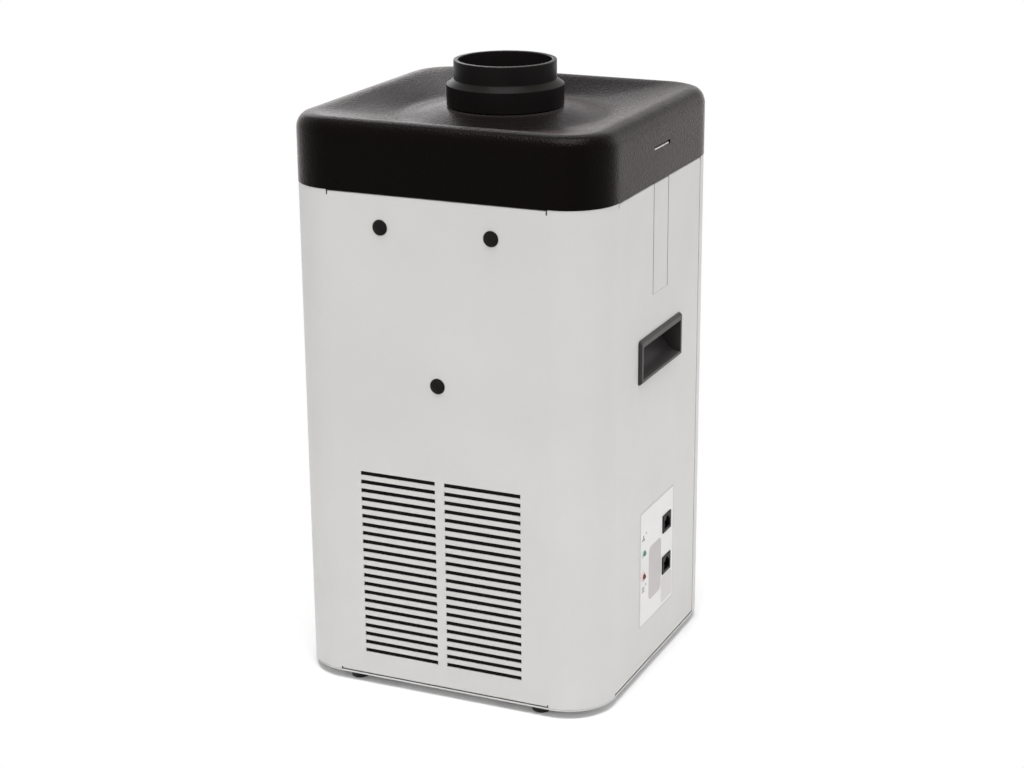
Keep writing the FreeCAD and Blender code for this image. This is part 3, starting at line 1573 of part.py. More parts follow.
def rear_panel():
    """Screwed service panel with the cut-outs of the mains entry."""
    body = new_body("rear_panel")
    face = facing_front(body, -HALF_DEPTH)
    rounded_rectangle(face, PANEL_WIDTH, S.panel_rise, S.grip_corner, 0, PANEL_LEVEL)
    for x, z in panel_screw_places():
        circle(face, S.screw_radius, x, z)
    rectangle(face, S.inlet_body_width + S.fit_gap, S.inlet_body_rise + S.fit_gap,
              INLET_ACROSS, INLET_LEVEL)
    rectangle(face, S.switch_body_width + S.fit_gap, S.switch_body_rise + S.fit_gap,
              SWITCH_ACROSS, INLET_LEVEL)
    pad(body, face, S.panel_sheet, back=True)
    keep(body, "rear_panel")
    master = screw("panel_screw", S.panel_sheet + S.wall_sheet + S.screw_beyond)
    gather("rear_panel_screws", copies(master, [
        (x, PANEL_FACE, z, *TO_REAR) for x, z in panel_screw_places()]))


def mains_inlet():
    """Appliance inlet: six-sided recess for the plug above a slot for the fuse drawer."""
    body = new_body("mains_inlet")
    flange = facing_front(body)
    rounded_rectangle(flange, S.inlet_flange_width, S.inlet_flange_rise, S.grip_corner)
    pad(body, flange, S.inlet_lip, back=True)
    rear = facing_front(body)
    rectangle(rear, S.inlet_body_width, S.inlet_body_rise)
    pad(body, rear, S.inlet_depth)
    recess = facing_front(body, -S.inlet_lip)
    half, cut = S.recess_width / 2, S.recess_cut
    outline(recess, [
        (-half, -S.recess_low), (half, -S.recess_low), (half, S.recess_high - cut),
        (half - cut, S.recess_high), (cut - half, S.recess_high), (-half, S.recess_high - cut),
    ])
    pocket(body, recess, S.recess_depth, back=True)
    drawer = facing_front(body, -S.inlet_lip)
    rectangle(drawer, S.drawer_width + 2 * S.fit_gap, S.drawer_rise + 2 * S.fit_gap, 0, -S.drawer_drop)
    pocket(body, drawer, S.drawer_depth + S.inlet_lip, back=True)
    seat(body, INLET_ACROSS, PANEL_FACE, INLET_LEVEL)
    keep(body, "mains_inlet")
    pin_low = PANEL_FACE + S.inlet_lip - S.recess_depth
    pins = []
    for number, (across, level) in enumerate((
            (-S.pin_spread, S.pin_level), (S.pin_spread, S.pin_level),
            (0, S.pin_level + S.pin_step))):
        low = (INLET_ACROSS + across - S.pin_width / 2, pin_low, INLET_LEVEL + level - S.pin_height / 2)
        pins.append(box(f"pin_{number}", low, (S.pin_width, S.pin_length, S.pin_height)))
    gather("inlet_pins", pins)


def fuse_drawer():
    """Small drawer with a finger lip and a trough for the fuse."""
    body = new_body("fuse_drawer")
    face = facing_front(body)
    rectangle(face, S.drawer_width, S.drawer_rise)
    pad(body, face, S.drawer_depth - S.drawer_end_gap)
    lip = facing_front(body)
    rectangle(lip, S.drawer_width / 3, S.drawer_lip, 0, (S.drawer_rise - S.drawer_lip) / 2)
    pad(body, lip, S.drawer_lip, back=True)
    trough = flat(body, S.drawer_rise / 2)
    rectangle(trough, S.drawer_width - 2 * S.grip_wall, S.fuse_width, 0, -S.drawer_depth / 2)
    pocket(body, trough, S.drawer_rise * 0.7)
    seat(body, INLET_ACROSS, PANEL_FACE + S.inlet_lip, INLET_LEVEL - S.drawer_drop)
    return keep(body, "fuse_drawer")


def rocker_frame():
    """Frame clipped into the panel, with a window for the rocker and bores for its pins."""
    body = new_body("rocker_frame")
    flange = facing_front(body)
    rounded_rectangle(flange, S.switch_flange_width, S.switch_flange_rise, S.grip_corner)
    pad(body, flange, S.switch_lip, back=True)
    rear = facing_front(body)
    rectangle(rear, S.switch_body_width, S.switch_body_rise)
    pad(body, rear, S.switch_depth)
    window = facing_front(body, -S.switch_lip)
    rectangle(window, S.switch_window_width, S.switch_window_rise)
    pocket(body, window, S.switch_depth, back=True)
    bore = facing_right(body)
    circle(bore, S.rocker_pin + S.snug_gap, -S.rocker_pivot, 0)
    pocket(body, bore, both=True)
    seat(body, SWITCH_ACROSS, PANEL_FACE, INLET_LEVEL)
    return keep(body, "rocker_frame")


ROCKER_LEAN = 8     # degrees


def rocker_switch():
    """Rocker on two stub pins, stored with its upper half pressed."""
    body = new_body("rocker_switch")
    section = facing_right(body)
    half = S.switch_window_rise / 2 - S.rocker_end_gap
    root = half - S.rocker_taper
    outline(section, [
        (S.rocker_proud, half), (S.rocker_proud - S.rocker_dip, 0), (S.rocker_proud, -half),
        (-S.rocker_root, -root), (-S.rocker_root, root),
    ])
    pad(body, section, S.switch_window_width - 2 * S.rocker_gap, both=True)
    pivot = facing_right(body)
    circle(pivot, S.rocker_pin)
    pad(body, pivot, S.switch_window_width + 2 * S.rocker_pin, both=True)
    seat(body, SWITCH_ACROSS, PANEL_FACE - S.rocker_pivot, INLET_LEVEL, Vector(1, 0, 0), ROCKER_LEAN)
    return keep(body, "rocker_switch")


# ---------------------------------------------------------------- power supply

SUPPLY_LOW = BASE_TOP + S.supply_lift
SUPPLY_TOP = SUPPLY_LOW + S.board_sheet
SUPPLY_LEFT = -S.supply_length / 2


def supply_place(across, behind):
    """A point on the supply's board, in shares of its length from its front left corner."""
    return SUPPLY_LEFT + S.supply_length * across, S.supply_length * behind


def power_supply():
    """Open-frame supply on the base plate: board, transformer, capacitors, heat sink."""
    keep(box("supply_board", (SUPPLY_LEFT, 0, SUPPLY_LOW), (S.supply_length, S.supply_width, S.board_sheet)),
         "supply_board")
    post = rod("supply_post", S.post_radius, S.supply_lift, (0, 0, 0))
    gather("supply_posts", copies(post, [
        (SUPPLY_LEFT + x, y, BASE_TOP)
        for x in (S.board_hole_inset, S.supply_length - S.board_hole_inset)
        for y in (S.board_hole_inset, S.supply_width - S.board_hole_inset)]))
    unit = S.supply_length
    core = box("transformer_core", (*supply_place(0.33, 0.18), SUPPLY_TOP),
               (unit * 0.29, unit * 0.27, unit * 0.24))
    winding = box("transformer_winding", (*supply_place(0.355, 0.12), SUPPLY_TOP + unit * 0.04),
                  (unit * 0.24, unit * 0.06, unit * 0.16))
    gather("supply_transformer", [core, winding])
    gather("supply_capacitors", [
        rod(f"capacitor_{number}", unit * radius, unit * rise, (*supply_place(across, behind), SUPPLY_TOP))
        for number, (radius, rise, across, behind) in enumerate((
            (0.08, 0.29, 0.18, 0.20), (0.055, 0.20, 0.78, 0.18),
            (0.055, 0.20, 0.78, 0.33), (0.036, 0.13, 0.22, 0.42)))])
    heat_sink()


def heat_sink():
    """Extruded comb: upright fins on a common floor."""
    body = new_body("supply_heatsink")
    section = facing_front(body, S.sink_inset - S.supply_width)
    count = SIZES["fin_count"]
    first = SUPPLY_LEFT + S.sink_across
    floor, top = SUPPLY_TOP + S.sink_floor, SUPPLY_TOP + S.sink_rise
    path = [(first, SUPPLY_TOP), (first + S.fin_pitch * (count - 1) + S.fin_sheet, SUPPLY_TOP)]
    for number in reversed(range(count)):
        left = first + S.fin_pitch * number
        path += [(left + S.fin_sheet, top), (left, top)]
        if number:
            path += [(left, floor), (left + S.fin_sheet - S.fin_pitch, floor)]
    outline(section, path)
    pad(body, section, S.sink_depth)
    keep(body, "supply_heatsink")


# ---------------------------------------------------------------- assembly

def build():
    housing_wrap()
    base_plate()
    base_screws()
    feet()
    hole_plugs()
    for label, turn in (("grip_right", 1), ("grip_left", -1)):
        grip(label, turn)
    for label, turn in (("latch_right", 1), ("latch_left", -1)):
        latch(label, turn)
    lid()
    lid_gasket()
    inlet_collar()
    collar_nut()
    filter_shelf()
    square_ring("shelf_gasket", SHELF_TOP, CASING_WIDTH, S.gasket_width, S.gasket_height, S.casing_corner)
    filter_cassette()
    inlet_nozzle()
    nozzle_screws()
    impeller()
    rotor_cup()
    motor()
    fan_bridge()
    linings()
    control_label()
    signal_sockets()
    lamp("led_green", S.led_upper)
    lamp("led_red", S.led_lower)
    lamp_rings()
    control_board()
    board_chips()
    rear_panel()
    mains_inlet()
    fuse_drawer()
    rocker_frame()
    rocker_switch()
    power_supply()
    DOC.recompute()


def check():
    """Stop if any object failed or any sub-part isn't a sound solid."""
    for thing in DOC.Objects:
        if {"Invalid", "Error"} & set(thing.State):
            raise RuntimeError(f"{thing.Name} failed: {thing.State}")
    for thing in KEPT:
        shape = thing.Shape
        if shape.isNull() or not shape.isValid() or not shape.Solids:
            raise RuntimeError(f"{thing.Label} is not a valid solid")


def export():
    os.makedirs("parts", exist_ok=True)
    for thing in KEPT:
        thing.Shape.exportStep(f"parts/{thing.Label}.step")
        print(f"{thing.Label:20s} {len(thing.Shape.Solids):3d} solids {thing.Shape.Volume:12.1f} mm3")


build()
check()
export()
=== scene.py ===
import json
from itertools import product
from math import atan2, copysign, cos, hypot, pi, radians, sin, tau

import bmesh
import bpy
from mathutils import Matrix, Vector, noise
from mathutils.bvhtree import BVHTree


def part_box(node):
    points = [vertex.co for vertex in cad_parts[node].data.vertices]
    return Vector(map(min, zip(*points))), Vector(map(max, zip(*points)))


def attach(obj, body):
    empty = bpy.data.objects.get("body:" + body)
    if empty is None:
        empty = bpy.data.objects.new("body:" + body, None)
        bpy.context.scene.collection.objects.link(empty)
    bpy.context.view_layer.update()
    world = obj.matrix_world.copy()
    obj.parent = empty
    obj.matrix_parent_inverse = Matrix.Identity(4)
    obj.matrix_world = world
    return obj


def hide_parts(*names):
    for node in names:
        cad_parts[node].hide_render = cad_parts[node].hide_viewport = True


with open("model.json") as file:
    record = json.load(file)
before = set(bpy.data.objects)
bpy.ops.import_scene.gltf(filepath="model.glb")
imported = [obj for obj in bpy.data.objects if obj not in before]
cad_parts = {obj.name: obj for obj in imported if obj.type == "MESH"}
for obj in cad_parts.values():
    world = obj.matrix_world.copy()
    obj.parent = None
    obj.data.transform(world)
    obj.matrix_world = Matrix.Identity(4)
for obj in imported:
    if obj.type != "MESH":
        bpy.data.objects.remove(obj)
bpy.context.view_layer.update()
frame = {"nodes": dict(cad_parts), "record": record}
NODES = frame["nodes"]
MM = 0.001
UP = Vector((0, 0, 1))
RIGHT = Vector((1, 0, 0))
BACK = Vector((0, 1, 0))


def stand(name, data):
    """A new object of some data, in the scene's own collection."""
    thing = bpy.data.objects.new(name, data)
    bpy.context.scene.collection.objects.link(thing)
    return thing


def mesh_of(name, tool):
    """Mesh with its faces turned outwards; the mesh code it comes from is used up."""
    mesh = bpy.data.meshes.new(name)
    bmesh.ops.recalc_face_normals(tool, faces=tool.faces)
    tool.to_mesh(mesh)
    tool.free()
    return mesh


def fill(node, **values):
    """Set inputs of a shader node; an underscore stands for a space."""
    for socket, value in values.items():
        node.inputs[socket.replace("_", " ")].default_value = value


def ring_points(count):
    """Evenly spaced angles of one turn."""
    return [tau * step / count for step in range(count)]


# ---------------------------------------------------------------- camera, floor and light

FOCAL_LENGTH = 77.16
SENSOR_WIDTH = 36.0
CAMERA_PLACE = Vector((658.7, -1451.0, 723.9)) * MM
CAMERA_ANGLES = (24.303, 17.909, -0.446)  # yaw, pitch and roll in degrees
DOME_STRENGTH = 0.46
LAMP_AIM = Vector((0, 0, 0.22))
FLOOR_HALF = 6.0
PAPER_COLOR = (0.93, 0.93, 0.93)
FADE_START = (0.095, 0.095, 0)  # corner of the square where the floor stays paper
FADE_WIDTH = 0.11
WHITE = (1.0, 1.0, 1.0, 1)
# name, place and side of the square in metres, watts
SOFTBOXES = (("softbox_right", (2.7, -0.5, 0.15), 1.6, 4.2),
             ("softbox_front", (0.2, -2.9, 0.15), 1.6, 3.9),
             ("softbox_top", (0.15, -0.35, 2.0), 1.2, 47.0),
             ("softbox_back_left", (-1.5, 1.9, 1.1), 1.2, 7.0),
             ("softbox_back_right", (1.5, 1.9, 1.1), 1.2, 5.0))


def place_camera():
    """A long lens from the front right, a little above the object."""
    optics = bpy.data.cameras.new("camera")
    optics.lens = FOCAL_LENGTH
    optics.sensor_width = SENSOR_WIDTH
    yaw, pitch, roll = (radians(angle) for angle in CAMERA_ANGLES)
    forward = Vector((-sin(yaw) * cos(pitch), cos(yaw) * cos(pitch), -sin(pitch)))
    level = Vector((cos(yaw), sin(yaw), 0))
    upright = level.cross(forward)
    right = level * cos(roll) + upright * sin(roll)
    up = upright * cos(roll) - level * sin(roll)
    camera = stand("camera", optics)
    camera.matrix_world = Matrix((right, up, -forward)).transposed().to_4x4()
    camera.matrix_world.translation = CAMERA_PLACE
    bpy.context.scene.camera = camera


def softbox(name, place, size, watts):
    """A square lamp that faces the middle of the object."""
    lamp = bpy.data.lights.new(name, "AREA")
    lamp.shape = "SQUARE"
    lamp.size = size
    lamp.energy = watts
    holder = stand(name, lamp)
    holder.location = Vector(place)
    aim = LAMP_AIM - holder.location
    holder.rotation_euler = aim.to_track_quat("-Z", "Y").to_euler()


def seen_rays(tree):
    """1 for what the camera, gloss and glass look at, 0 for the light that falls on things."""
    path = tree.nodes.new("ShaderNodeLightPath")
    total = path.outputs["Is Camera Ray"]
    for ray in ("Is Glossy Ray", "Is Transmission Ray"):
        both = tree.nodes.new("ShaderNodeMath")
        both.operation = "MAXIMUM"
        tree.links.new(total, both.inputs[0])
        tree.links.new(path.outputs[ray], both.inputs[1])
        total = both.outputs[0]
    return total


def light_world():
    """White to look at, and a plain pale dome of light."""
    world = bpy.data.worlds.new("studio")
    world.use_nodes = True
    bpy.context.scene.world = world
    tree = world.node_tree
    nodes = tree.nodes
    dome = nodes["Background"]
    fill(dome, Color=WHITE, Strength=DOME_STRENGTH)
    seen = nodes.new("ShaderNodeBackground")
    fill(seen, Color=WHITE)
    mix = nodes.new("ShaderNodeMixShader")
    for socket, output in enumerate((seen_rays(tree), dome.outputs[0], seen.outputs[0])):
        tree.links.new(output, mix.inputs[socket])
    tree.links.new(mix.outputs[0], nodes["World Output"].inputs["Surface"])


def lay_floor():
    """Pale paper that takes the shadow, and fades into the background away from the object."""
    mesh = bpy.data.meshes.new("studio_floor")
    sweep = bmesh.new()
    bmesh.ops.create_grid(sweep, x_segments=24, y_segments=24, size=FLOOR_HALF)
    sweep.to_mesh(mesh)
    sweep.free()
    floor = stand("studio_floor", mesh)
    sheet = Surface("floor_paper", PAPER_COLOR, 0.9, Specular_IOR_Level=0.1)
    beyond = sheet.place
    for operation in ("ABSOLUTE", "SUBTRACT", "MAXIMUM", "LENGTH"):
        step = sheet.add("VectorMath", operation=operation)
        if operation == "SUBTRACT":
            step.inputs[1].default_value = FADE_START
        sheet.join(beyond, step, 0)
        beyond = step.outputs["Value" if operation == "LENGTH" else "Vector"]
    fade = sheet.add("MapRange", interpolation_type="SMOOTHSTEP")
    fill(fade, From_Max=FADE_WIDTH)
    sheet.join(beyond, fade, "Value")
    share = sheet.add("Math", operation="MULTIPLY")
    sheet.join(seen_rays(sheet.tree), share, 0)
    sheet.join(fade.outputs["Result"], share, 1)
    white = sheet.add("Emission")
    mix = sheet.add("MixShader")
    for socket, node in enumerate((share, sheet.shader, white)):
        sheet.join(node.outputs[0], mix, socket)
    sheet.join(mix.outputs[0], sheet.tree.nodes["Material Output"], "Surface")
    mesh.materials.append(sheet.material)


# ---------------------------------------------------------------- materials

def scaled(color, factor):
    """A colour made darker or lighter, never above white."""
    return tuple(min(1.0, channel * factor) for channel in color)


class Surface:
    """A node material built round one Principled shader, in the object's own coordinates."""

    def __init__(self, name, color, roughness, metallic=0.0, ior=1.5, **settings):
        self.material = bpy.data.materials.new(name)
        self.material.use_nodes = True
        self.tree = self.material.node_tree
        self.shader = self.tree.nodes["Principled BSDF"]
        self.place = self.add("TexCoord").outputs["Object"]
        self.color = None
        self.base = (*color, 1)
        self.normal = None
        fill(self.shader, Base_Color=self.base, Roughness=roughness, Metallic=metallic, IOR=ior,
             **settings)

    def add(self, kind, **settings):
        """A new shader node of a kind."""
        node = self.tree.nodes.new("ShaderNode" + kind)
        for setting, value in settings.items():
            setattr(node, setting, value)
        return node

    def join(self, output, node, socket):
        """Lead an output to a node's input."""
        self.tree.links.new(output, node.inputs[socket])

    def stretched(self, x, y, z):
        """Coordinates scaled along each axis, for brushing and weave."""
        mapping = self.add("Mapping")
        fill(mapping, Scale=(x, y, z))
        self.join(self.place, mapping, "Vector")
        return mapping.outputs["Vector"]

    def noise(self, scale, detail=3.0, roughness=0.5, place=None):
        """Clouds, so many to the metre."""
        texture = self.add("TexNoise")
        fill(texture, Scale=scale, Detail=detail, Roughness=roughness)
        self.join(place or self.place, texture, "Vector")
        return texture.outputs["Fac"]

    def cells(self, scale, output="Distance", smooth=False):
        """Grains side by side, so many to the metre."""
        texture = self.add("TexVoronoi", feature="SMOOTH_F1" if smooth else "F1")
        fill(texture, Scale=scale)
        self.join(self.place, texture, "Vector")
        return texture.outputs[output]

    def layers(self, scale, distortion=0.0):
        """Level bands, one above another."""
        texture = self.add("TexWave", bands_direction="Z")
        fill(texture, Scale=scale, Distortion=distortion)
        self.join(self.place, texture, "Vector")
        return texture.outputs["Fac"]

    def band(self, value, low, high, to_low=0.0, to_high=1.0):
        """Stretch a value's range between low and high onto another."""
        reach = self.add("MapRange")
        fill(reach, From_Min=low, From_Max=high, To_Min=to_low, To_Max=to_high)
        self.join(value, reach, "Value")
        return reach.outputs["Result"]

    def tint(self, share, color):
        """Lay another colour over the base where share is high."""
        mix = self.add("Mix", data_type="RGBA")
        fill(mix, A=self.base, B=(*color, 1))
        if self.color is not None:
            self.join(self.color, mix, "A")
        self.join(share, mix, "Factor")
        self.color = mix.outputs["Result"]
        self.join(self.color, self.shader, "Base Color")
        return self

    def mottle(self, value, low, high, most, color):
        """Lay a colour over the base where a texture is high, up to a share of most."""
        return self.tint(self.band(value, low, high, 0.0, most), color)

    def gloss(self, value, low, high):
        """Let a texture move the roughness between low and high."""
        self.join(self.band(value, 0.25, 0.75, low, high), self.shader, "Roughness")
        return self

    def soften(self, radius):
        """Round every edge a little, as moulds, paint and folds do."""
        bevel = self.add("Bevel", samples=6)
        fill(bevel, Radius=radius)
        self.normal = bevel.outputs["Normal"]
        self.join(self.normal, self.shader, "Normal")
        return self

    def relief(self, height, depth, strength):
        """Raise the surface by a texture; depth is in metres."""
        bump = self.add("Bump")
        fill(bump, Distance=depth, Strength=strength)
        self.join(height, bump, "Height")
        if self.normal is not None:
            self.join(self.normal, bump, "Normal")
        self.normal = bump.outputs["Normal"]
        self.join(self.normal, self.shader, "Normal")
        return self

    def seams(self, reach, color):
        """Painted shade: darken the colour where parts meet, by how little open sky reaches there.
        """
        near = self.add("AmbientOcclusion", samples=8)
        fill(near, Distance=reach)
        return self.tint(self.band(near.outputs["AO"], *CREVICE_SHADE_RANGE), color)

    def height(self):
        """How high above the floor a point is."""
        split = self.add("SeparateXYZ")
        self.join(self.place, split, "Vector")
        return split.outputs["Z"]


# painted shade laid into the crevices where parts meet
CREVICE_SHADE_REACH = 1.6 * MM
CREVICE_SHADE_RANGE = (0.85, 0.5)  # open sky at which the painted shade starts, and is darkest
CREVICE_SHADE_COLOR = (0.035, 0.033, 0.032)


def paint(name, color, roughness=0.42):
    """Silver-grey powder paint: fine pebbled skin, faint clouding, and painted shade where parts
    meet.
    """
    surface = Surface(name, color, roughness, ior=1.45).soften(0.35 * MM)
    darker, lighter = scaled(color, 0.94), scaled(color, 1.05)
    surface.mottle(surface.noise(9.0, 4.0), 0.35, 0.7, 0.8, darker)
    surface.mottle(surface.noise(2400.0, 2.0), 0.55, 0.72, 0.6, lighter)
    surface.mottle(surface.noise(1700.0, 2.0), 0.6, 0.75, 0.5, darker)
    # painted shade: crevices darkened by ambient occlusion
    surface.seams(CREVICE_SHADE_REACH, CREVICE_SHADE_COLOR)
    surface.gloss(surface.noise(60.0), roughness - 0.04, roughness + 0.05)
    return surface.relief(surface.noise(1500.0, 2.0), 0.02 * MM, 0.5).material


GRAIN_DEPTH = 0.22 * MM
GRAIN_SCALE = 720.0


def leather_grain(name, color, roughness):
    """Black moulding with a fine leather grain; a low IOR and some sheen keep it dull."""
    surface = Surface(name, color, roughness, ior=1.13, Specular_Tint=(1.0, 0.82, 0.82, 1),
                      Sheen_Weight=0.31, Sheen_Roughness=0.31, Sheen_Tint=(1.0, 0.87, 0.86, 1))
    surface.soften(0.5 * MM)
    cells = surface.cells(GRAIN_SCALE, smooth=True)
    surface.mottle(cells, 0.35, 0.75, 0.5, scaled(color, 1.9))
    surface.mottle(surface.noise(7.0, 4.0), 0.4, 0.75, 0.5, scaled(color, 1.4))
    surface.gloss(surface.noise(40.0, 4.0), roughness - 0.04, roughness + 0.06)
    surface.relief(cells, GRAIN_DEPTH, 1.0)
    return surface.relief(surface.noise(GRAIN_SCALE * 2.5, 2.0), GRAIN_DEPTH * 0.4, 0.7).material


def smooth_plastic(name, color, roughness, ior, grain=0.01, edge=0.3, extra=None):
    """Turned or injected plastic: even, with the faintest haze and flow marks."""
    surface = Surface(name, color, roughness, ior=ior, **(extra or {})).soften(edge * MM)
    surface.mottle(surface.noise(28.0, 5.0), 0.4, 0.75, 0.6, scaled(color, 1.35))
    surface.gloss(surface.noise(90.0, 4.0), roughness - 0.05, roughness + 0.07)
    return surface.relief(surface.noise(1800.0, 2.0), grain * MM, 0.4).material


def brushed(name, color, roughness, along, edge=0.2):
    """Bare sheet or turned metal with fine lines."""
    surface = Surface(name, color, roughness, metallic=0.95).soften(edge * MM)
    lines = surface.noise(1.0, 4.0, 0.7, place=surface.stretched(*along))
    surface.mottle(lines, 0.35, 0.7, 0.35, scaled(color, 0.72))
    surface.gloss(lines, roughness - 0.08, roughness + 0.12)
    return surface.relief(lines, 0.02 * MM, 0.4).material


def zinc(name, color):
    """Galvanised sheet: large soft crystals, matt patches between them."""
    surface = Surface(name, color, 0.42, metallic=0.9).soften(0.25 * MM)
    flakes = surface.cells(120.0, "Color")
    surface.mottle(flakes, 0.1, 0.9, 0.3, scaled(color, 0.72))
    surface.mottle(surface.cells(260.0, "Color"), 0.2, 0.9, 0.16, (0.9, 0.92, 0.95))
    surface.gloss(flakes, 0.36, 0.48)
    return surface.relief(surface.noise(400.0), 0.02 * MM, 0.4).material


def rubber(name, color):
    """Dull black rubber with a faint bloom."""
    surface = Surface(name, color, 0.72, ior=1.35).soften(0.4 * MM)
    surface.mottle(surface.noise(120.0, 5.0), 0.45, 0.75, 0.7, (0.05, 0.048, 0.046))
    surface.gloss(surface.noise(200.0), 0.62, 0.82)
    return surface.relief(surface.noise(1300.0, 3.0), 0.05 * MM, 0.5).material


def open_foam(name, color):
    """Open-cell foam: pores of two sizes, the larger ones with painted shade inside."""
    surface = Surface(name, color, 0.95, ior=1.2)
    pores = surface.cells(900.0)
    # painted shade: the pores' middles keep the dark colour, their rims are lighter
    surface.mottle(pores, 0.2, 0.75, 0.9, scaled(color, 2.6))
    surface.mottle(surface.noise(30.0, 4.0), 0.45, 0.8, 0.4, scaled(color, 0.4))
    surface.relief(pores, 0.5 * MM, 0.9)
    return surface.relief(surface.cells(2070.0), 0.2 * MM, 0.6).material


def fleece(name, color):
    """Pressed filter fibre: thin crossing hairs and soft clouds."""
    surface = Surface(name, color, 0.92, ior=1.25)
    along = surface.noise(1.0, 5.0, 0.7, place=surface.stretched(160.0, 1400.0, 1400.0))
    across = surface.noise(1.0, 5.0, 0.7, place=surface.stretched(1400.0, 160.0, 1400.0))
    surface.mottle(along, 0.5, 0.72, 0.5, (0.62, 0.64, 0.66))
    surface.mottle(across, 0.5, 0.72, 0.4, (0.97, 0.98, 1.0))
    surface.mottle(surface.noise(14.0, 4.0), 0.45, 0.75, 0.35, (0.7, 0.7, 0.69))
    surface.relief(along, 0.35 * MM, 0.8)
    return surface.relief(across, 0.35 * MM, 0.8).material


def granules(name):
    """Activated carbon: angular black grains, each with its own sheen."""
    surface = Surface(name, (0.012, 0.012, 0.013), 0.6)
    grains = surface.cells(330.0)
    surface.mottle(grains, 0.0, 0.6, 0.8, (0.045, 0.045, 0.05))
    surface.gloss(surface.noise(500.0), 0.35, 0.85)
    return surface.relief(grains, 1.2 * MM, 1.0).material


def paper(name):
    """Pleated filter paper."""
    surface = Surface(name, (0.86, 0.86, 0.82), 0.88, ior=1.3)
    fibre = surface.noise(900.0, 6.0, 0.7)
    surface.mottle(fibre, 0.4, 0.7, 0.5, (0.72, 0.71, 0.66))
    return surface.relief(fibre, 0.08 * MM, 0.6).material


def circuit_board(name):
    """Green solder mask with copper tracks under it and pads in rows."""
    surface = Surface(name, (0.012, 0.11, 0.045), 0.35).soften(0.1 * MM)
    tracks = surface.layers(130.0, 1.2)
    surface.mottle(tracks, 0.62, 0.7, 0.7, (0.03, 0.2, 0.075))
    surface.mottle(surface.cells(330.0), 0.16, 0.12, 0.9, (0.6, 0.55, 0.4))
    return surface.relief(tracks, 0.04 * MM, 0.5).material


def lens(name, color):
    """Tinted clear lamp body with a little cloud inside."""
    surface = Surface(name, color, 0.16, Transmission_Weight=0.35, Coat_Weight=0.4,
                      Coat_Roughness=0.05)
    surface.mottle(surface.noise(500.0, 2.0), 0.4, 0.7, 0.5, scaled(color, 0.45))
    surface.gloss(surface.noise(700.0), 0.1, 0.25)
    return surface.relief(surface.noise(900.0), 0.01 * MM, 0.3).material


LAMPS_APART = (90.0 * MM, 92.0 * MM)  # levels between the red lamp and the green one, where the painted reflection turns from green to red


def lamp_ring_painted_reflection(name):
    """Clear ring with the lamps' colour painted on as a reflection, green above and red below."""
    # painted reflection: the greenish base and the reddish tint lower down stand for the lamps'
    # colour in the ring
    surface = Surface(name, (0.58, 0.68, 0.60), 0.25).soften(0.15 * MM)
    red, green = LAMPS_APART
    surface.tint(surface.band(surface.height(), green, red), (0.72, 0.50, 0.49))
    surface.mottle(surface.noise(900.0), 0.4, 0.7, 0.4, (0.74, 0.75, 0.74))
    surface.gloss(surface.noise(400.0), 0.2, 0.32)
    return surface.relief(surface.noise(1500.0), 0.01 * MM, 0.3).material


def cast_metal(name, color, roughness=0.5, grain=700.0):
    """Pitted casting, sintered block or wound coil."""
    surface = Surface(name, color, roughness, metallic=0.85).soften(0.3 * MM)
    pitted = surface.noise(grain, 4.0)
    surface.mottle(pitted, 0.45, 0.75, 0.5, scaled(color, 0.6))
    surface.gloss(pitted, roughness - 0.1, roughness + 0.15)
    return surface.relief(pitted, 0.06 * MM, 0.6).material


def laminated(name):
    """Stacked thin sheets seen edge on."""
    surface = Surface(name, (0.2, 0.2, 0.21), 0.45, metallic=0.9).soften(0.15 * MM)
    sheets = surface.layers(330.0)
    surface.mottle(sheets, 0.3, 0.6, 0.6, (0.08, 0.08, 0.085))
    surface.mottle(surface.noise(80.0, 4.0), 0.5, 0.8, 0.3, (0.24, 0.2, 0.16))
    return surface.relief(sheets, 0.08 * MM, 0.7).material


def label_film(name):
    """Printed plastic film: near white, silky, with the finest orange peel."""
    surface = Surface(name, (0.73, 0.72, 0.715), 0.38, ior=1.45)
    surface.mottle(surface.noise(40.0, 4.0), 0.4, 0.75, 0.4, (0.69, 0.68, 0.675))
    surface.gloss(surface.noise(150.0), 0.32, 0.45)
    return surface.relief(surface.noise(1200.0), 0.008 * MM, 0.4).material


def ink(name, color):
    """Screen-printed ink: flat silk with a slightly uneven lay."""
    surface = Surface(name, color, 0.45, ior=1.45)
    surface.mottle(surface.noise(600.0, 4.0), 0.4, 0.7, 0.5, scaled(color, 0.92))
    surface.gloss(surface.noise(900.0), 0.38, 0.52)
    return surface.relief(surface.noise(2200.0), 0.005 * MM, 0.4).material


EVEN_GRAIN = (900.0, 900.0, 900.0)
GRIP_SHEEN = {"Sheen_Weight": 0.27, "Sheen_Roughness": 0.34, "Sheen_Tint": (1.0, 0.9, 0.89, 1)}
HOUSING_GREY = (0.60, 0.592, 0.582)

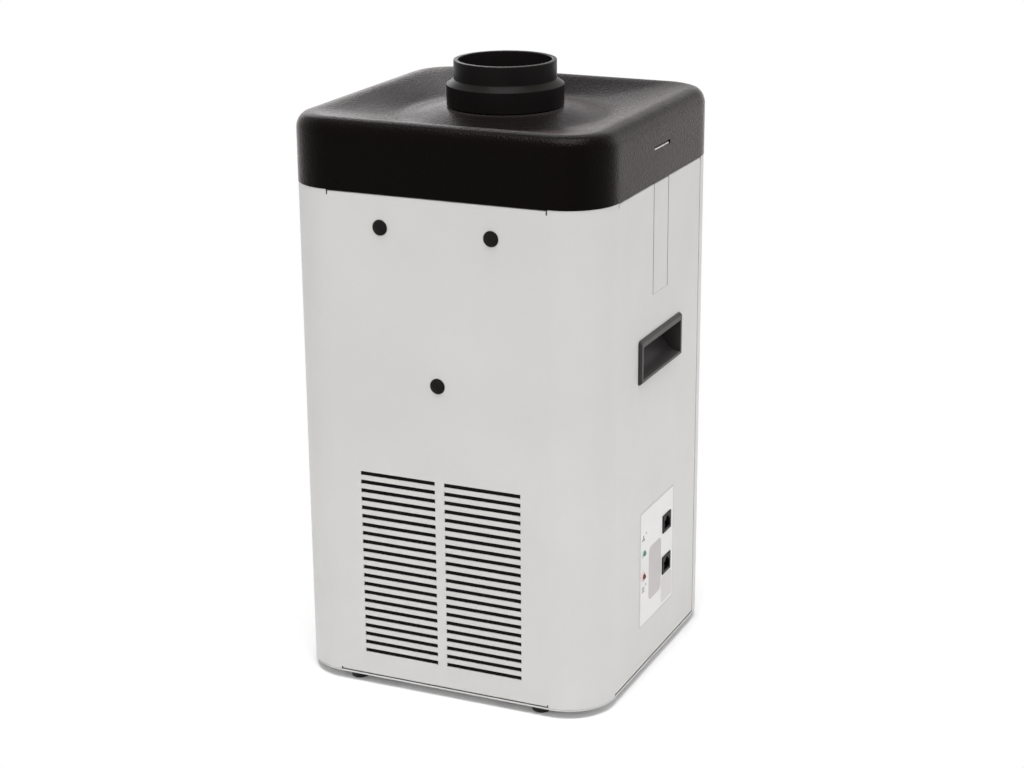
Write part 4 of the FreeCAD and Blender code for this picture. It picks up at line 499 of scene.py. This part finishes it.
# each finish: the function that makes it, and what that is given after the name
SLOTS = {
    "wrap_paint": (paint, HOUSING_GREY),
    "base_steel": (paint, (0.58, 0.575, 0.57), 0.38),
    "latch_steel": (paint, HOUSING_GREY),
    "black_moulding": (leather_grain, (0.001, 0.0006, 0.0006), 0.25),
    "collar_plastic": (smooth_plastic, (0.0085, 0.0072, 0.007), 0.29, 1.12, 0.01, 0.5),
    "grip_moulding": (smooth_plastic, (0.038, 0.035, 0.035), 0.36, 1.15, 0.03, 0.4, GRIP_SHEEN),
    "plug_plastic": (smooth_plastic, (0.007, 0.006, 0.006), 0.28, 1.18),
    "socket_plastic": (smooth_plastic, (0.006, 0.005, 0.005), 0.34, 1.16, 0.01, 0.2),
    "component_black": (smooth_plastic, (0.014, 0.014, 0.015), 0.4, 1.45, 0.02),
    "impeller_plastic": (smooth_plastic, (0.018, 0.018, 0.02), 0.45, 1.45, 0.03),
    "lamp_ring": (lamp_ring_painted_reflection,),
    "label_film": (label_film,),
    "print_border": (ink, (0.45, 0.44, 0.435)),
    "print_field": (ink, (0.50, 0.475, 0.47)),
    "print_band": (ink, (0.60, 0.585, 0.58)),
    "print_dark": (ink, (0.06, 0.055, 0.055)),
    "print_light": (ink, (0.8, 0.8, 0.79)),
    "contact_gold": (brushed, (0.83, 0.60, 0.24), 0.25, EVEN_GRAIN, 0.05),
    "lamp_green": (lens, (0.12, 0.27, 0.19)),
    "lamp_red": (lens, (0.20, 0.012, 0.02)),
    "screw_steel": (brushed, (0.55, 0.55, 0.56), 0.32, EVEN_GRAIN, 0.1),
    "zinc_sheet": (zinc, (0.45, 0.465, 0.48)),
    "casing_steel": (zinc, (0.48, 0.49, 0.505)),
    "foot_rubber": (rubber, (0.012, 0.012, 0.012)),
    "foam": (open_foam, (0.006, 0.0055, 0.0055)),
    "filter_mat": (fleece, (0.82, 0.84, 0.86)),
    "carbon": (granules,),
    "pleat_paper": (paper,),
    "rotor_steel": (brushed, (0.30, 0.30, 0.31), 0.35, (900.0, 900.0, 30.0)),
    "magnet": (cast_metal, (0.09, 0.09, 0.1), 0.6),
    "shaft_steel": (brushed, (0.66, 0.66, 0.67), 0.2, (30.0, 30.0, 2500.0), 0.1),
    "motor_alloy": (cast_metal, (0.60, 0.61, 0.62)),
    "core_steel": (laminated,),
    "board_green": (circuit_board,),
    "transformer": (cast_metal, (0.22, 0.16, 0.09), 0.5, 300.0),
    "capacitor": (smooth_plastic, (0.03, 0.04, 0.12), 0.28, 1.5),
    "heatsink": (brushed, (0.52, 0.53, 0.55), 0.38, (900.0, 5.0, 900.0)),
}
MADE = {}


def finish_of(slot):
    """The slot's material, made the first time it is wanted."""
    if slot not in MADE:
        maker, *settings = SLOTS[slot]
        MADE[slot] = maker(slot, *settings)
    return MADE[slot]


def dress_nodes():
    """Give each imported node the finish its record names, and the grips a duller black."""
    for part in frame["record"]["subparts"]:
        node = NODES[part["node"]]
        grip = part["node"].startswith("grip_")
        material = finish_of("grip_moulding" if grip else part["material_slot"])
        if not node.material_slots:
            node.data.materials.append(material)
        for holder in node.material_slots:
            holder.material = material


# ---------------------------------------------------------------- mesh tools

SIDE_SHARE = 60  # degrees of a circle that pair with one side of a rectangle
ARC_SHARE = 0.45  # most of a side that one corner's arc takes
EDGE_SHARES = (0, 0.3, 0.65)  # where a block's round edge has its points


def shade(mesh, sharp):
    """Smooth shading, but for edges sharper than so many degrees."""
    mesh.polygons.foreach_set("use_smooth", [True] * len(mesh.polygons))
    mesh.set_sharp_from_angle(angle=radians(sharp))


def piece(name, tool, slot, body, *replaced, sharp=40, finish=None):
    """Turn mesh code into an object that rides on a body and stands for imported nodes.

    The slot is the record's; a finish of its own is given where ink lies on it."""
    mesh = mesh_of(name, tool)
    mesh.materials.append(finish_of(finish or slot))
    shade(mesh, sharp)
    thing = stand(name, mesh)
    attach(thing, body)
    if replaced:
        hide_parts(*replaced)
    return thing


def bridge(tool, loops, cyclic=False):
    """Quads between neighbouring loops of points, and from the last to the first where cyclic.

    Returns the loops' vertices."""
    rows = [[tool.verts.new(point) for point in loop] for loop in loops]
    pairs = list(zip(rows, rows[1:]))
    if cyclic:
        pairs.append((rows[-1], rows[0]))
    for below, above in pairs:
        count = len(below)
        for place in range(count):
            after = (place + 1) % count
            tool.faces.new((below[place], below[after], above[after], above[place]))
    return rows


def close_ends(tool, rows):
    """Cap the first and the last loop of a bridge."""
    tool.faces.new(rows[0])
    tool.faces.new(rows[-1][::-1])


def arc(before, corner, after, radius, steps):
    """Points of a small arc that takes the place of a corner between two others."""
    corner = Vector(corner)
    back, on = Vector(before) - corner, Vector(after) - corner
    reach = min(radius, back.length * ARC_SHARE, on.length * ARC_SHARE)
    start, end = (corner + way.normalized() * reach for way in (back, on))
    shares = [step / steps for step in range(steps + 1)]
    return [tuple(start * (1 - share) ** 2 + corner * 2 * share * (1 - share) + end * share ** 2)
            for share in shares]


def rounded(profile, radius):
    """The profile with its inner corners turned into small arcs."""
    made = [profile[0]]
    for before, corner, after in zip(profile, profile[1:], profile[2:]):
        made += arc(before, corner, after, radius, steps=4)
    return made + [profile[-1]]


def islands(name):
    """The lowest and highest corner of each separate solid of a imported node."""
    mesh = NODES[name].data
    spots, parent = {}, {}
    for vertex in mesh.vertices:
        key = tuple(round(value * 1e6) for value in vertex.co)
        spots[vertex.index] = key
        parent.setdefault(key, key)

    def top(key):
        while parent[key] != key:
            parent[key] = parent[parent[key]]
            key = parent[key]
        return key

    for edge in mesh.edges:
        first, last = (top(spots[index]) for index in edge.vertices)
        parent[first] = last
    groups = {}
    for vertex in mesh.vertices:
        groups.setdefault(top(spots[vertex.index]), []).append(vertex.co)
    boxes = [(Vector(map(min, zip(*points))), Vector(map(max, zip(*points))))
             for points in groups.values()]
    return sorted(boxes, key=lambda pair: tuple(round(value, 5) for value in pair[0]))


def soft_block(tool, low, high, radius, pitch, lift=None):
    """Closed block with round edges; lift(point, outward) says how far each point rises."""
    axes = []
    for start, end in zip(low, high):
        span = end - start - 2 * radius
        count = max(2, round(span / pitch))
        inner = [start + radius + span * step / count for step in range(count + 1)]
        ends = [share * radius for share in EDGE_SHARES]
        axes.append([start + step for step in ends] + inner + [end - step for step in ends[::-1]])
    core = [(start + radius, end - radius) for start, end in zip(low, high)]
    made = {}

    def vertex(key):
        if key not in made:
            point = Vector([steps[place] for steps, place in zip(axes, key)])
            held = Vector([min(max(value, start), end) for value, (start, end) in zip(point, core)])
            outward = (point - held).normalized()
            point = held + outward * radius
            if lift:
                point = point + outward * lift(point, outward)
            made[key] = tool.verts.new(point)
        return made[key]

    counts = [len(axis) - 1 for axis in axes]
    for axis in range(3):
        first, second = (other for other in range(3) if other != axis)
        for side, i, j in product((0, counts[axis]), range(counts[first]), range(counts[second])):
            corners = []
            for di, dj in ((0, 0), (1, 0), (1, 1), (0, 1)):
                key = [0, 0, 0]
                key[axis], key[first], key[second] = side, i + di, j + dj
                corners.append(vertex(tuple(key)))
            tool.faces.new(corners)


def square_loop(half_x, half_y, radius, height, side, corner):
    """Rounded rectangle as one loop from the right side, with so many points a side and corner."""
    loop = []
    for quarter in range(4):
        turn = radians(90 * quarter)
        along, across = (half_x, half_y) if quarter % 2 == 0 else (half_y, half_x)
        flat = across - radius
        spots = [(along, -flat + 2 * flat * step / side) for step in range(side)]
        for step in range(corner):
            angle = radians(90 * step / corner)
            spots.append((along - radius + radius * cos(angle), flat + radius * sin(angle)))
        loop += [Vector((x * cos(turn) - y * sin(turn), x * sin(turn) + y * cos(turn), height))
                 for x, y in spots]
    return loop


def circle_loop(radius, height, side, corner):
    """Circle whose points pair with those of a rounded rectangle."""
    lean = SIDE_SHARE / 2
    angles = []
    for quarter in range(4):
        middle = 90 * quarter
        angles += [middle - lean + 2 * lean * step / side for step in range(side)]
        angles += [middle + lean + (90 - 2 * lean) * step / corner for step in range(corner)]
    turns = [radians(angle) for angle in angles]
    return [Vector((radius * cos(turn), radius * sin(turn), height)) for turn in turns]


def carve(thing, tool):
    """Cut the tool's closed forms out of an object and keep the result as its mesh."""
    cutter = stand("cutter", mesh_of("cutter", tool))
    cut = thing.modifiers.new("cut", "BOOLEAN")
    cut.operation = "DIFFERENCE"
    cut.solver = "EXACT"
    cut.object = cutter
    whole = thing.evaluated_get(bpy.context.evaluated_depsgraph_get())
    made = bpy.data.meshes.new_from_object(whole)
    thing.modifiers.remove(cut)
    thing.data = made
    bpy.data.objects.remove(cutter)


def poured(tool, form, matrix):
    """Add a copy of a mesh, moved by a matrix."""
    before = len(tool.verts)
    tool.from_mesh(form)
    tool.verts.ensure_lookup_table()
    bmesh.ops.transform(tool, matrix=matrix, verts=tool.verts[before:])


def facing(place, direction, turn):
    """Matrix that stands a form built along Z on a place, along a direction, turned in degrees."""
    lean = UP.rotation_difference(direction).to_matrix().to_4x4()
    return Matrix.Translation(place) @ lean @ Matrix.Rotation(radians(turn), 4, "Z")


# ---------------------------------------------------------------- screws and rubber

SCREW_HEAD = 3.8 * MM
SCREW_RISE = 2.2 * MM
SCREW_SHANK = 1.97 * MM
THREAD_PITCH = 0.8 * MM
THREAD_ROOT = SCREW_SHANK * 0.82
THREAD_END = 0.35  # share of the thread's height that is left at the tip
SCREW_STEPS = 24
# share of the head's radius and of its height, from the top down
HEAD_DOME = ((0.3, 0.995), (0.58, 0.95), (0.8, 0.83), (0.93, 0.64), (0.99, 0.4), (1.0, 0.22),
             (0.985, 0.0))
RECESS_WING = 2.15 * MM
RECESS_HALF = 0.46 * MM
# scale of the cross and its level above the head's underside
RECESS_LEVELS = ((1.05, SCREW_RISE * 1.1), (0.55, SCREW_RISE * 0.32))
SCREW_TURN = 37  # degrees between one screw's recess and the next


def screw_blank(length):
    """Pan-head screw on its head's underside: domed head and threaded shank."""
    tool = bmesh.new()
    ring = [(cos(turn), sin(turn)) for turn in ring_points(SCREW_STEPS)]
    loops = [[Vector((x * share * SCREW_HEAD, y * share * SCREW_HEAD, rise * SCREW_RISE))
              for x, y in ring] for share, rise in HEAD_DOME]
    rings = max(4, round(length / THREAD_PITCH * 4))
    for step in range(rings + 1):
        depth = length * step / rings
        ease = min(1.0, depth / THREAD_PITCH, (length - depth) / THREAD_PITCH + THREAD_END)
        loop = []
        for place, (x, y) in enumerate(ring):
            wave = abs(((depth / THREAD_PITCH + place / SCREW_STEPS) % 1) - 0.5) * 2
            radius = THREAD_ROOT + (SCREW_SHANK - THREAD_ROOT) * wave * ease
            loop.append(Vector((x * radius, y * radius, -depth)))
        loops.append(loop)
    close_ends(tool, bridge(tool, loops))
    return tool


def cross_recess():
    """Tapered cross that is cut into a screw's head."""
    star = []
    arm = [(RECESS_WING, -RECESS_HALF), (RECESS_WING, RECESS_HALF), (RECESS_HALF, RECESS_HALF)]
    for _ in range(4):
        star += arm
        arm = [(-y, x) for x, y in arm]
    recess = bmesh.new()
    close_ends(recess, bridge(recess, [[Vector((x * share, y * share, level)) for x, y in star]
                                       for share, level in RECESS_LEVELS]))
    return recess


def screw_form(length):
    """Mesh of a cross-head screw."""
    blank = stand("screw_form", mesh_of("screw_form", screw_blank(length)))
    carve(blank, cross_recess())
    form = blank.data
    bpy.data.objects.remove(blank)
    return form


def screws(name, node, direction):
    """A cross-head screw for each packed one, each stopped at its own turn."""
    tool = bmesh.new()
    axis = max(range(3), key=lambda place: abs(direction[place]))
    packed = islands(node)
    low, high = packed[0]
    form = screw_form(high[axis] - low[axis] - SCREW_RISE)
    for number, (low, high) in enumerate(packed):
        seat = (low + high) / 2
        outer = high[axis] if direction[axis] > 0 else low[axis]
        seat[axis] = outer - direction[axis] * SCREW_RISE
        poured(tool, form, facing(seat, direction, SCREW_TURN * number))
    piece(name, tool, "screw_steel", "housing", node, sharp=32)


# (radius, height) in millimetres, once round each section from the middle of its top
FOOT_SECTION = ((4.6, 6.0), (7.2, 6.0), (7.0, 1.5), (6.6, 0.0), (4.4, 0.0), (4.4, 4.2), (2.0, 4.2),
                (2.0, 6.0), (4.6, 6.0))
DAMPER_SECTION = ((3.5, 4.0), (5.0, 4.0), (5.0, 2.7), (4.3, 2.4), (4.3, 1.6), (5.0, 1.3),
                  (5.0, 0.0), (2.0, 0.0), (2.0, 4.0), (3.5, 4.0))
RUBBER_STEPS = 40


def rubber_rings(name, node, profile, radius):
    """Turned rubber rings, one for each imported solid."""
    tool = bmesh.new()
    section = rounded([(across * MM, rise * MM) for across, rise in profile], radius)
    turns = ring_points(RUBBER_STEPS)
    for low, high in islands(node):
        seat = Vector(((low.x + high.x) / 2, (low.y + high.y) / 2, low.z))
        bridge(tool, [[seat + Vector((across * cos(turn), across * sin(turn), rise))
                       for turn in turns] for across, rise in section])
    bmesh.ops.remove_doubles(tool, verts=tool.verts, dist=1e-6)
    piece(name, tool, "foot_rubber", "housing", node)


# ---------------------------------------------------------------- soft pieces

FILTER_CORNER = 8.2 * MM
SECTION_STEPS = 20
SECTION_POWER = 0.4  # squareness of a foam strip's section: 1 would be an ellipse
STRIP_WAVER = 0.0012  # how much of its place a strip's point gives way
FACES_OUT = 0.9  # least cosine of a face's tilt at which it is lifted


def squared(value):
    """Bring a sine or cosine out towards a square's side."""
    return copysign(abs(value) ** SECTION_POWER, value)


def rough(point, scale):
    """Unevenness from 0 to about 1, the same at each run; scale is lumps to the metre."""
    return abs(noise.noise(point * scale))


def foam_ring(name, node, wall, corner, body):
    """Square foam strip with a soft, slightly uneven section."""
    low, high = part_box(node)
    middle, half = (low.z + high.z) / 2, (high.z - low.z) / 2
    tool = bmesh.new()
    loops = []
    for turn in ring_points(SECTION_STEPS):
        inset = wall / 2 * (1 - squared(cos(turn)))
        loop = square_loop(high.x - inset, high.y - inset, corner - inset * 0.5,
                           middle + half * squared(sin(turn)), side=60, corner=12)
        loops.append([point * (1 - STRIP_WAVER * rough(point, 90)) for point in loop])
    bridge(tool, loops, cyclic=True)
    piece(name, tool, "foam", body, node)


def clip_corners(tool, half_x, half_y, radius):
    """Bring the upright corners of a block in to a rounded outline."""
    flat_x, flat_y = half_x - radius, half_y - radius
    for vertex in tool.verts:
        over_x, over_y = abs(vertex.co.x) - flat_x, abs(vertex.co.y) - flat_y
        reach = hypot(over_x, over_y)
        if over_x > 0 and over_y > 0 and reach > radius:
            vertex.co.x = copysign(flat_x + over_x * radius / reach, vertex.co.x)
            vertex.co.y = copysign(flat_y + over_y * radius / reach, vertex.co.y)


def prefilter_mat():
    """Fleece that swells a little into the openings of the grid above it."""
    low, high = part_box("prefilter_mat")
    grid_low, grid_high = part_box("prefilter_grid")
    lip, bar, count = 8.0 * MM, 5.0 * MM, 6
    pitch = (grid_high.x - grid_low.x - 2 * lip) / count

    def swell(value):
        """1 at the middle of the grid's openings, 0 under its bars."""
        place = ((value - grid_low.x - lip) / pitch) % 1 - 0.5
        inside = grid_low.x + lip < value < grid_high.x - lip
        return max(0.0, cos(pi * place * pitch / (pitch - bar))) if inside else 0.0

    def lift(point, outward):
        """Soft pillows in the openings, with the fleece's own unevenness."""
        pillow = (swell(point.x) * swell(point.y)) ** 0.6 if outward.z > FACES_OUT else 0
        return 1.1 * MM * pillow - 0.12 * MM * rough(point, 350)

    tool = bmesh.new()
    soft_block(tool, low, high, radius=1.6 * MM, pitch=2.6 * MM, lift=lift)
    clip_corners(tool, high.x, high.y, FILTER_CORNER)
    piece("prefilter_fleece", tool, "filter_mat", "filter", "prefilter_mat")


def carbon_bed():
    """Loose granules, level but lumpy."""
    low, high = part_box("carbon_bed")
    tool = bmesh.new()
    soft_block(tool, low, high, radius=0.8 * MM, pitch=2.4 * MM,
               lift=lambda point, outward: -0.9 * MM * rough(point, 420))
    clip_corners(tool, high.x, high.y, FILTER_CORNER)
    piece("carbon_granules", tool, "carbon", "filter", "carbon_bed")


def exhaust_mat():
    """Black fibre mat behind the louvre, a little slack between its edges."""
    low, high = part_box("exhaust_mat")

    def lift(point, outward):
        """Slack, and the fibres on it."""
        return -0.35 * MM * rough(point, 60) - 0.15 * MM * rough(point, 300)

    tool = bmesh.new()
    soft_block(tool, low, high, radius=2.5 * MM, pitch=3.5 * MM, lift=lift)
    piece("louvre_mat", tool, "foam", "housing", "exhaust_mat")


def acoustic_foam():
    """Egg-crate foam: flat against the wall, rounded peaks towards the fan."""
    low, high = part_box("acoustic_foam")
    pitch, peak = 21.0 * MM, 6.4 * MM

    def lift(point, outward):
        """Hollows between the peaks."""
        if outward.x < FACES_OUT:
            return 0
        wave = cos(tau * point.y / pitch) * cos(tau * (point.z - low.z) / pitch)
        return -peak / 2 * (1 - wave) - 0.1 * MM * rough(point, 300)

    tool = bmesh.new()
    soft_block(tool, low, high, radius=1.5 * MM, pitch=2.6 * MM, lift=lift)
    piece("egg_crate_foam", tool, "foam", "housing", "acoustic_foam", sharp=70)


# ---------------------------------------------------------------- lid

LID_WALL = 3.0 * MM
LID_HOLE = 38.1 * MM
LID_SHARP = 50
CREST_DROP = 12.2 * MM  # how far the valley lies below the crest of the rim
VALLEY_RADIUS = 75.0 * MM
CONE_RADIUS = 47.0 * MM
SHOULDER = 12.0 * MM  # radius of the rim
LAND = 1.4 * MM  # flat width of the crest
CORNER = 37.05 * MM
TAB_SLOT = 24.4 * MM  # middle of the slot above the lid's lower edge
TAB_SLOT_SIZE = (31.0 * MM, 3.0 * MM)  # length and height
TAB_SIZE = Vector((3.05, 28.1, 1.4)) * MM
TAB_REVEAL = 0.35 * MM  # how far the tab's end stays behind the lid's side
TAB_DROP = 0.05 * MM  # from the slot's middle down to the tab's top
PLENUM_WALL = 2.5 * MM
PLENUM_CORNER = 10 * MM
PLENUM_BITE = LID_WALL * 0.6  # how far its top reaches into the lid
ABOVE_LID = UP * 0.2  # start of the rays that look down for it
LOOP_COUNTS = {"side": 28, "corner": 14}
CREASE_ROUNDS = 6


def smooth_creases(loops, first, last):
    """Even out the heights across the creases between loops, column by column."""
    for _ in range(CREASE_ROUNDS):
        heights = [[point.z for point in loop] for loop in loops]
        for row in range(first, last):
            for point, before, here, after in zip(loops[row], *heights[row - 1:row + 2]):
                point.z = (before + 2 * here + after) / 4


def lid_skin(inset, foot, crest, seat):
    """Loops of the lid's outside, or of its inside where inset is the wall."""
    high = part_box("lid")[1]
    half_x, half_y = high.x - inset, high.y - inset
    corner, shoulder = CORNER - inset, SHOULDER - inset
    valley = crest - CREST_DROP

    def outline(draw, level):
        """The lid's outline, drawn in by so much."""
        return square_loop(half_x - draw, half_y - draw, corner - draw, level, **LOOP_COUNTS)

    side_steps, shoulder_steps, dish_steps, cone_steps = 6, 8, 16, 11
    loops = []
    for step in range(side_steps):
        loops.append(outline(0, foot + (crest - shoulder - foot) * step / side_steps))
    for step in range(shoulder_steps + 1):
        turn = radians(90 * step / shoulder_steps)
        level = crest - shoulder * (1 - sin(turn))
        loops.append(outline(shoulder * (1 - cos(turn)), level))
    bend = len(loops) - 3
    rim = outline(shoulder + LAND, crest)
    basin = circle_loop(VALLEY_RADIUS, valley, **LOOP_COUNTS)
    for step in range(dish_steps + 1):
        loops.append([outer.lerp(inner, step / dish_steps) for outer, inner in zip(rim, basin)])
    for step in range(1, cone_steps + 1):
        share = step / cone_steps
        loops.append(circle_loop(VALLEY_RADIUS + (CONE_RADIUS - VALLEY_RADIUS) * share,
                                 valley + (seat - valley) * share, **LOOP_COUNTS))
    loops.append(circle_loop((CONE_RADIUS + LID_HOLE) / 2, seat, **LOOP_COUNTS))
    smooth_creases(loops, bend, len(loops) - 3)
    loops.append(circle_loop(LID_HOLE, seat, **LOOP_COUNTS))
    return loops


def tab_slots(thing):
    """Cut the slot for each latch's tab through both side walls."""
    low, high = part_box("lid")
    level = low.z + TAB_SLOT
    tool = bmesh.new()
    for side in (-1, 1):
        bmesh.ops.create_cube(tool, size=1.0, matrix=Matrix.Translation((side * high.x, 0, level))
                              @ Matrix.Diagonal((3 * LID_WALL, *TAB_SLOT_SIZE, 1)))
    carve(thing, tool)


def lid():
    """Dished lid with soft creases; the plenum wall hangs under it."""
    low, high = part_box("lid")
    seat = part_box("collar_nut")[1].z + LID_WALL
    outside = lid_skin(0.0, low.z, high.z, seat)
    inside = lid_skin(LID_WALL, low.z, high.z - LID_WALL, seat - LID_WALL)
    tool = bmesh.new()
    bridge(tool, outside + inside[::-1], cyclic=True)
    thing = piece("lid_moulding", tool, "black_moulding", "lid", "lid", sharp=LID_SHARP)
    tab_slots(thing)
    shade(thing.data, LID_SHARP)
    plenum_wall(outside)


def plenum_wall(outside):
    """Upright wall that reaches from the filter's gasket into the lid's underside."""
    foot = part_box("lid_gasket")[1].z
    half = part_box("filter_casing")[1].x - PLENUM_WALL
    surface = bmesh.new()
    bridge(surface, outside)
    surface.normal_update()
    tree = BVHTree.FromBMesh(surface)
    loops = []
    for inset in (0.0, PLENUM_WALL):
        base = square_loop(half - inset, half - inset, PLENUM_CORNER - inset, foot,
                           side=30, corner=8)
        top = []
        for point in base:
            hit = tree.ray_cast(point + ABOVE_LID, -UP)[0]
            top.append(Vector((point.x, point.y, hit.z - PLENUM_BITE)))
        loops.append((base, top))
    surface.free()
    (outer_low, outer_high), (inner_low, inner_high) = loops
    tool = bmesh.new()
    bridge(tool, [outer_low, outer_high, inner_high, inner_low], cyclic=True)
    piece("lid_plenum_wall", tool, "black_moulding", "lid")


# ---------------------------------------------------------------- tabs and print

def latch_tabs():
    """The bent end of each latch where it shows in the lid's slot."""
    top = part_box("lid")[0].z + TAB_SLOT - TAB_DROP
    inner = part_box("lid")[1].x - TAB_REVEAL - TAB_SIZE.x
    for body, side in (("latch_right", 1), ("latch_left", -1)):
        tool = bmesh.new()
        soft_block(tool, Vector((0, -TAB_SIZE.y / 2, top - TAB_SIZE.z)),
                   Vector((TAB_SIZE.x, TAB_SIZE.y / 2, top)), radius=0.2 * MM, pitch=2.0 * MM)
        for vertex in tool.verts:
            vertex.co.x = side * (inner + vertex.co.x)
        piece(f"{body}_tab", tool, "latch_steel", body)


INK = 0.03 * MM
FIELD_INK = 0.02 * MM
# the rest of the print is in millimetres
BORDER = ((0.15, 2.0), (0.9, 1.4))  # inset and corner radius of its outer and its inner edge
# across and up from the label's middle: left, right, low, high, corner radius
LABEL_FIELD = (-17.0, 9.0, -30.0, 13.0, 5.0)
LABEL_BAND = (10.0, 33.0, -43.0, -22.0, 3.0)
# across from the label's middle and up from the floor
FAN_SIGN = (-28.5, 111.6)
FAN_BLADE = (1.55, 1.25, 0.85)  # middle of a blade from the hub, half its length and width
MESH_SIGN = (-28.5, 70.6)
MESH_ROWS = (-1.6, 0.0, 1.6)
MESH_BAR = (2.6, 0.35)  # half the length and width
RING_SIGNS = ((-22.9, 114.6), (-22.9, 73.4))
RING_RADII = (0.95, 0.5)
ROCKER_CENTRE = Vector((-5.0, 119.5, 69.5)) * MM
ROCKER_LEAN = 8  # degrees that the rocker tips at rest
ROCKER_CREST = 4.2
ROCKER_RISE = 1.4
ROCKER_REACH = 9.0
MARK_PLACE = 4.6
MARK_RADII = (1.9, 1.45)
MARK_BAR = (-0.25, 0.25, -1.9, 1.9)


def patch(tool, outline, plane, thickness=INK):
    """Ink on a flat face: an outline of (across, up) points laid on the plane's matrix."""
    rows = bridge(tool, [[plane @ Vector((across * MM, up * MM, rise)) for across, up in outline]
                         for rise in (-thickness, thickness)])
    tool.faces.new(rows[0][::-1])
    tool.faces.new(rows[1])


def ring_patch(tool, outer, inner, plane):
    """Ink ring between two outlines of as many points."""
    loops = [[plane @ Vector((across * MM, up * MM, rise)) for across, up in outline]
             for outline, rise in ((outer, -INK), (outer, INK), (inner, INK), (inner, -INK))]
    bridge(tool, loops, cyclic=True)


def rectangle(left, right, low, high):
    """Outline of a rectangle."""
    return [(left, low), (right, low), (right, high), (left, high)]


def disc(radius, across=0.0, up=0.0, steps=28):
    """Outline of a disc."""
    return [(across + radius * cos(turn), up + radius * sin(turn)) for turn in ring_points(steps)]


def soft_field(corners, radius):
    """Outline of a field whose corners are rounded."""
    made = []
    for place, corner in enumerate(corners):
        after = corners[(place + 1) % len(corners)]
        made += arc(corners[place - 1], corner, after, radius, steps=6)
    return made


def fan_lobe(across, up, around):
    """One blade of the fan sign round its hub, turned by so many degrees."""
    around = radians(around)
    middle, length, width = FAN_BLADE
    lobe = []
    for turn in ring_points(14):
        reach, side = middle + length * cos(turn), width * sin(turn)
        lobe.append((across + (reach * cos(around) - side * sin(around)),
                     up + (reach * sin(around) + side * cos(around))))
    return lobe


def label_piece(name, tool, finish):
    """Ink that lies on the control label."""
    piece(name, tool, "label_film", "housing", finish=finish)


def label_print():
    """Plain fields and small signs on the control label."""
    low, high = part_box("control_label")
    middle = (low.z + high.z) / 2
    plane = Matrix(((0, 0, 1, high.x), (1, 0, 0, 0), (0, 1, 0, middle), (0, 0, 0, 1)))
    half_y, half_z = (high.y - low.y) / 2 / MM, (high.z - low.z) / 2 / MM
    outer, inner = (soft_field(rectangle(inset - half_y, half_y - inset,
                                         inset - half_z, half_z - inset), radius)
                    for inset, radius in BORDER)
    border = bmesh.new()
    ring_patch(border, outer, inner, plane)
    label_piece("label_border", border, "print_border")
    for name, (*sides, radius), finish in (("label_field", LABEL_FIELD, "print_field"),
                                           ("label_band", LABEL_BAND, "print_band")):
        field = bmesh.new()
        patch(field, soft_field(rectangle(*sides), radius), plane, FIELD_INK)
        label_piece(name, field, finish)
    floor_at = -middle / MM
    signs = bmesh.new()
    across, up = FAN_SIGN
    for around in (90, 210, 330):
        patch(signs, fan_lobe(across, up + floor_at, around), plane)
    across, up = MESH_SIGN
    reach, half = MESH_BAR
    for row in MESH_ROWS:
        level = up + floor_at + row
        patch(signs, rectangle(across - reach, across + reach, level - half, level + half), plane)
    for across, up in RING_SIGNS:
        outline, hole = (disc(radius, across, up + floor_at, 16) for radius in RING_RADII)
        ring_patch(signs, outline, hole, plane)
    label_piece("label_signs", signs, "print_dark")


def rocker_marks():
    """O on the rocker's upper half and I on its lower half; each half slopes to the middle."""
    lean = Matrix.Rotation(radians(ROCKER_LEAN), 4, "X")
    face = Matrix(((-1, 0, 0, 0), (0, 0, 1, 0), (0, 1, 0, 0), (0, 0, 0, 1)))
    slope = atan2(ROCKER_RISE, ROCKER_REACH)
    marks = bmesh.new()
    for side in (1, -1):
        tilt = Matrix.Rotation(-side * slope, 4, "X")
        out = ROCKER_CREST + ROCKER_RISE * MARK_PLACE / ROCKER_REACH
        spot = Matrix.Translation(Vector((0, out, side * MARK_PLACE)) * MM)
        plane = Matrix.Translation(ROCKER_CENTRE) @ lean @ spot @ tilt @ face
        if side > 0:
            ring_patch(marks, *(disc(radius) for radius in MARK_RADII), plane)
        else:
            patch(marks, rectangle(*MARK_BAR), plane)
    piece("rocker_marks", marks, "socket_plastic", "rocker", finish="print_light")


bpy.context.scene.view_settings.view_transform = "Standard"
place_camera()
light_world()
lay_floor()
for lamp in SOFTBOXES:
    softbox(*lamp)
dress_nodes()
foam_ring("lid_seal", "lid_gasket", 6.0 * MM, 10.0 * MM, "lid")
foam_ring("shelf_seal", "shelf_gasket", 12.0 * MM, 10.0 * MM, "housing")
prefilter_mat()
carbon_bed()
exhaust_mat()
acoustic_foam()
lid()
for part, heads_face in (("base", -UP), ("foot", -UP), ("nozzle", UP), ("bridge", -UP),
                         ("board", -RIGHT)):
    screws(f"{part}_screws_crosshead", f"{part}_screws", heads_face)
screws("panel_screws_crosshead", "rear_panel_screws", BACK)
rubber_rings("rubber_feet", "feet", FOOT_SECTION, 0.6 * MM)
rubber_rings("rubber_dampers", "fan_dampers", DAMPER_SECTION, 0.5 * MM)
latch_tabs()
label_print()
rocker_marks()
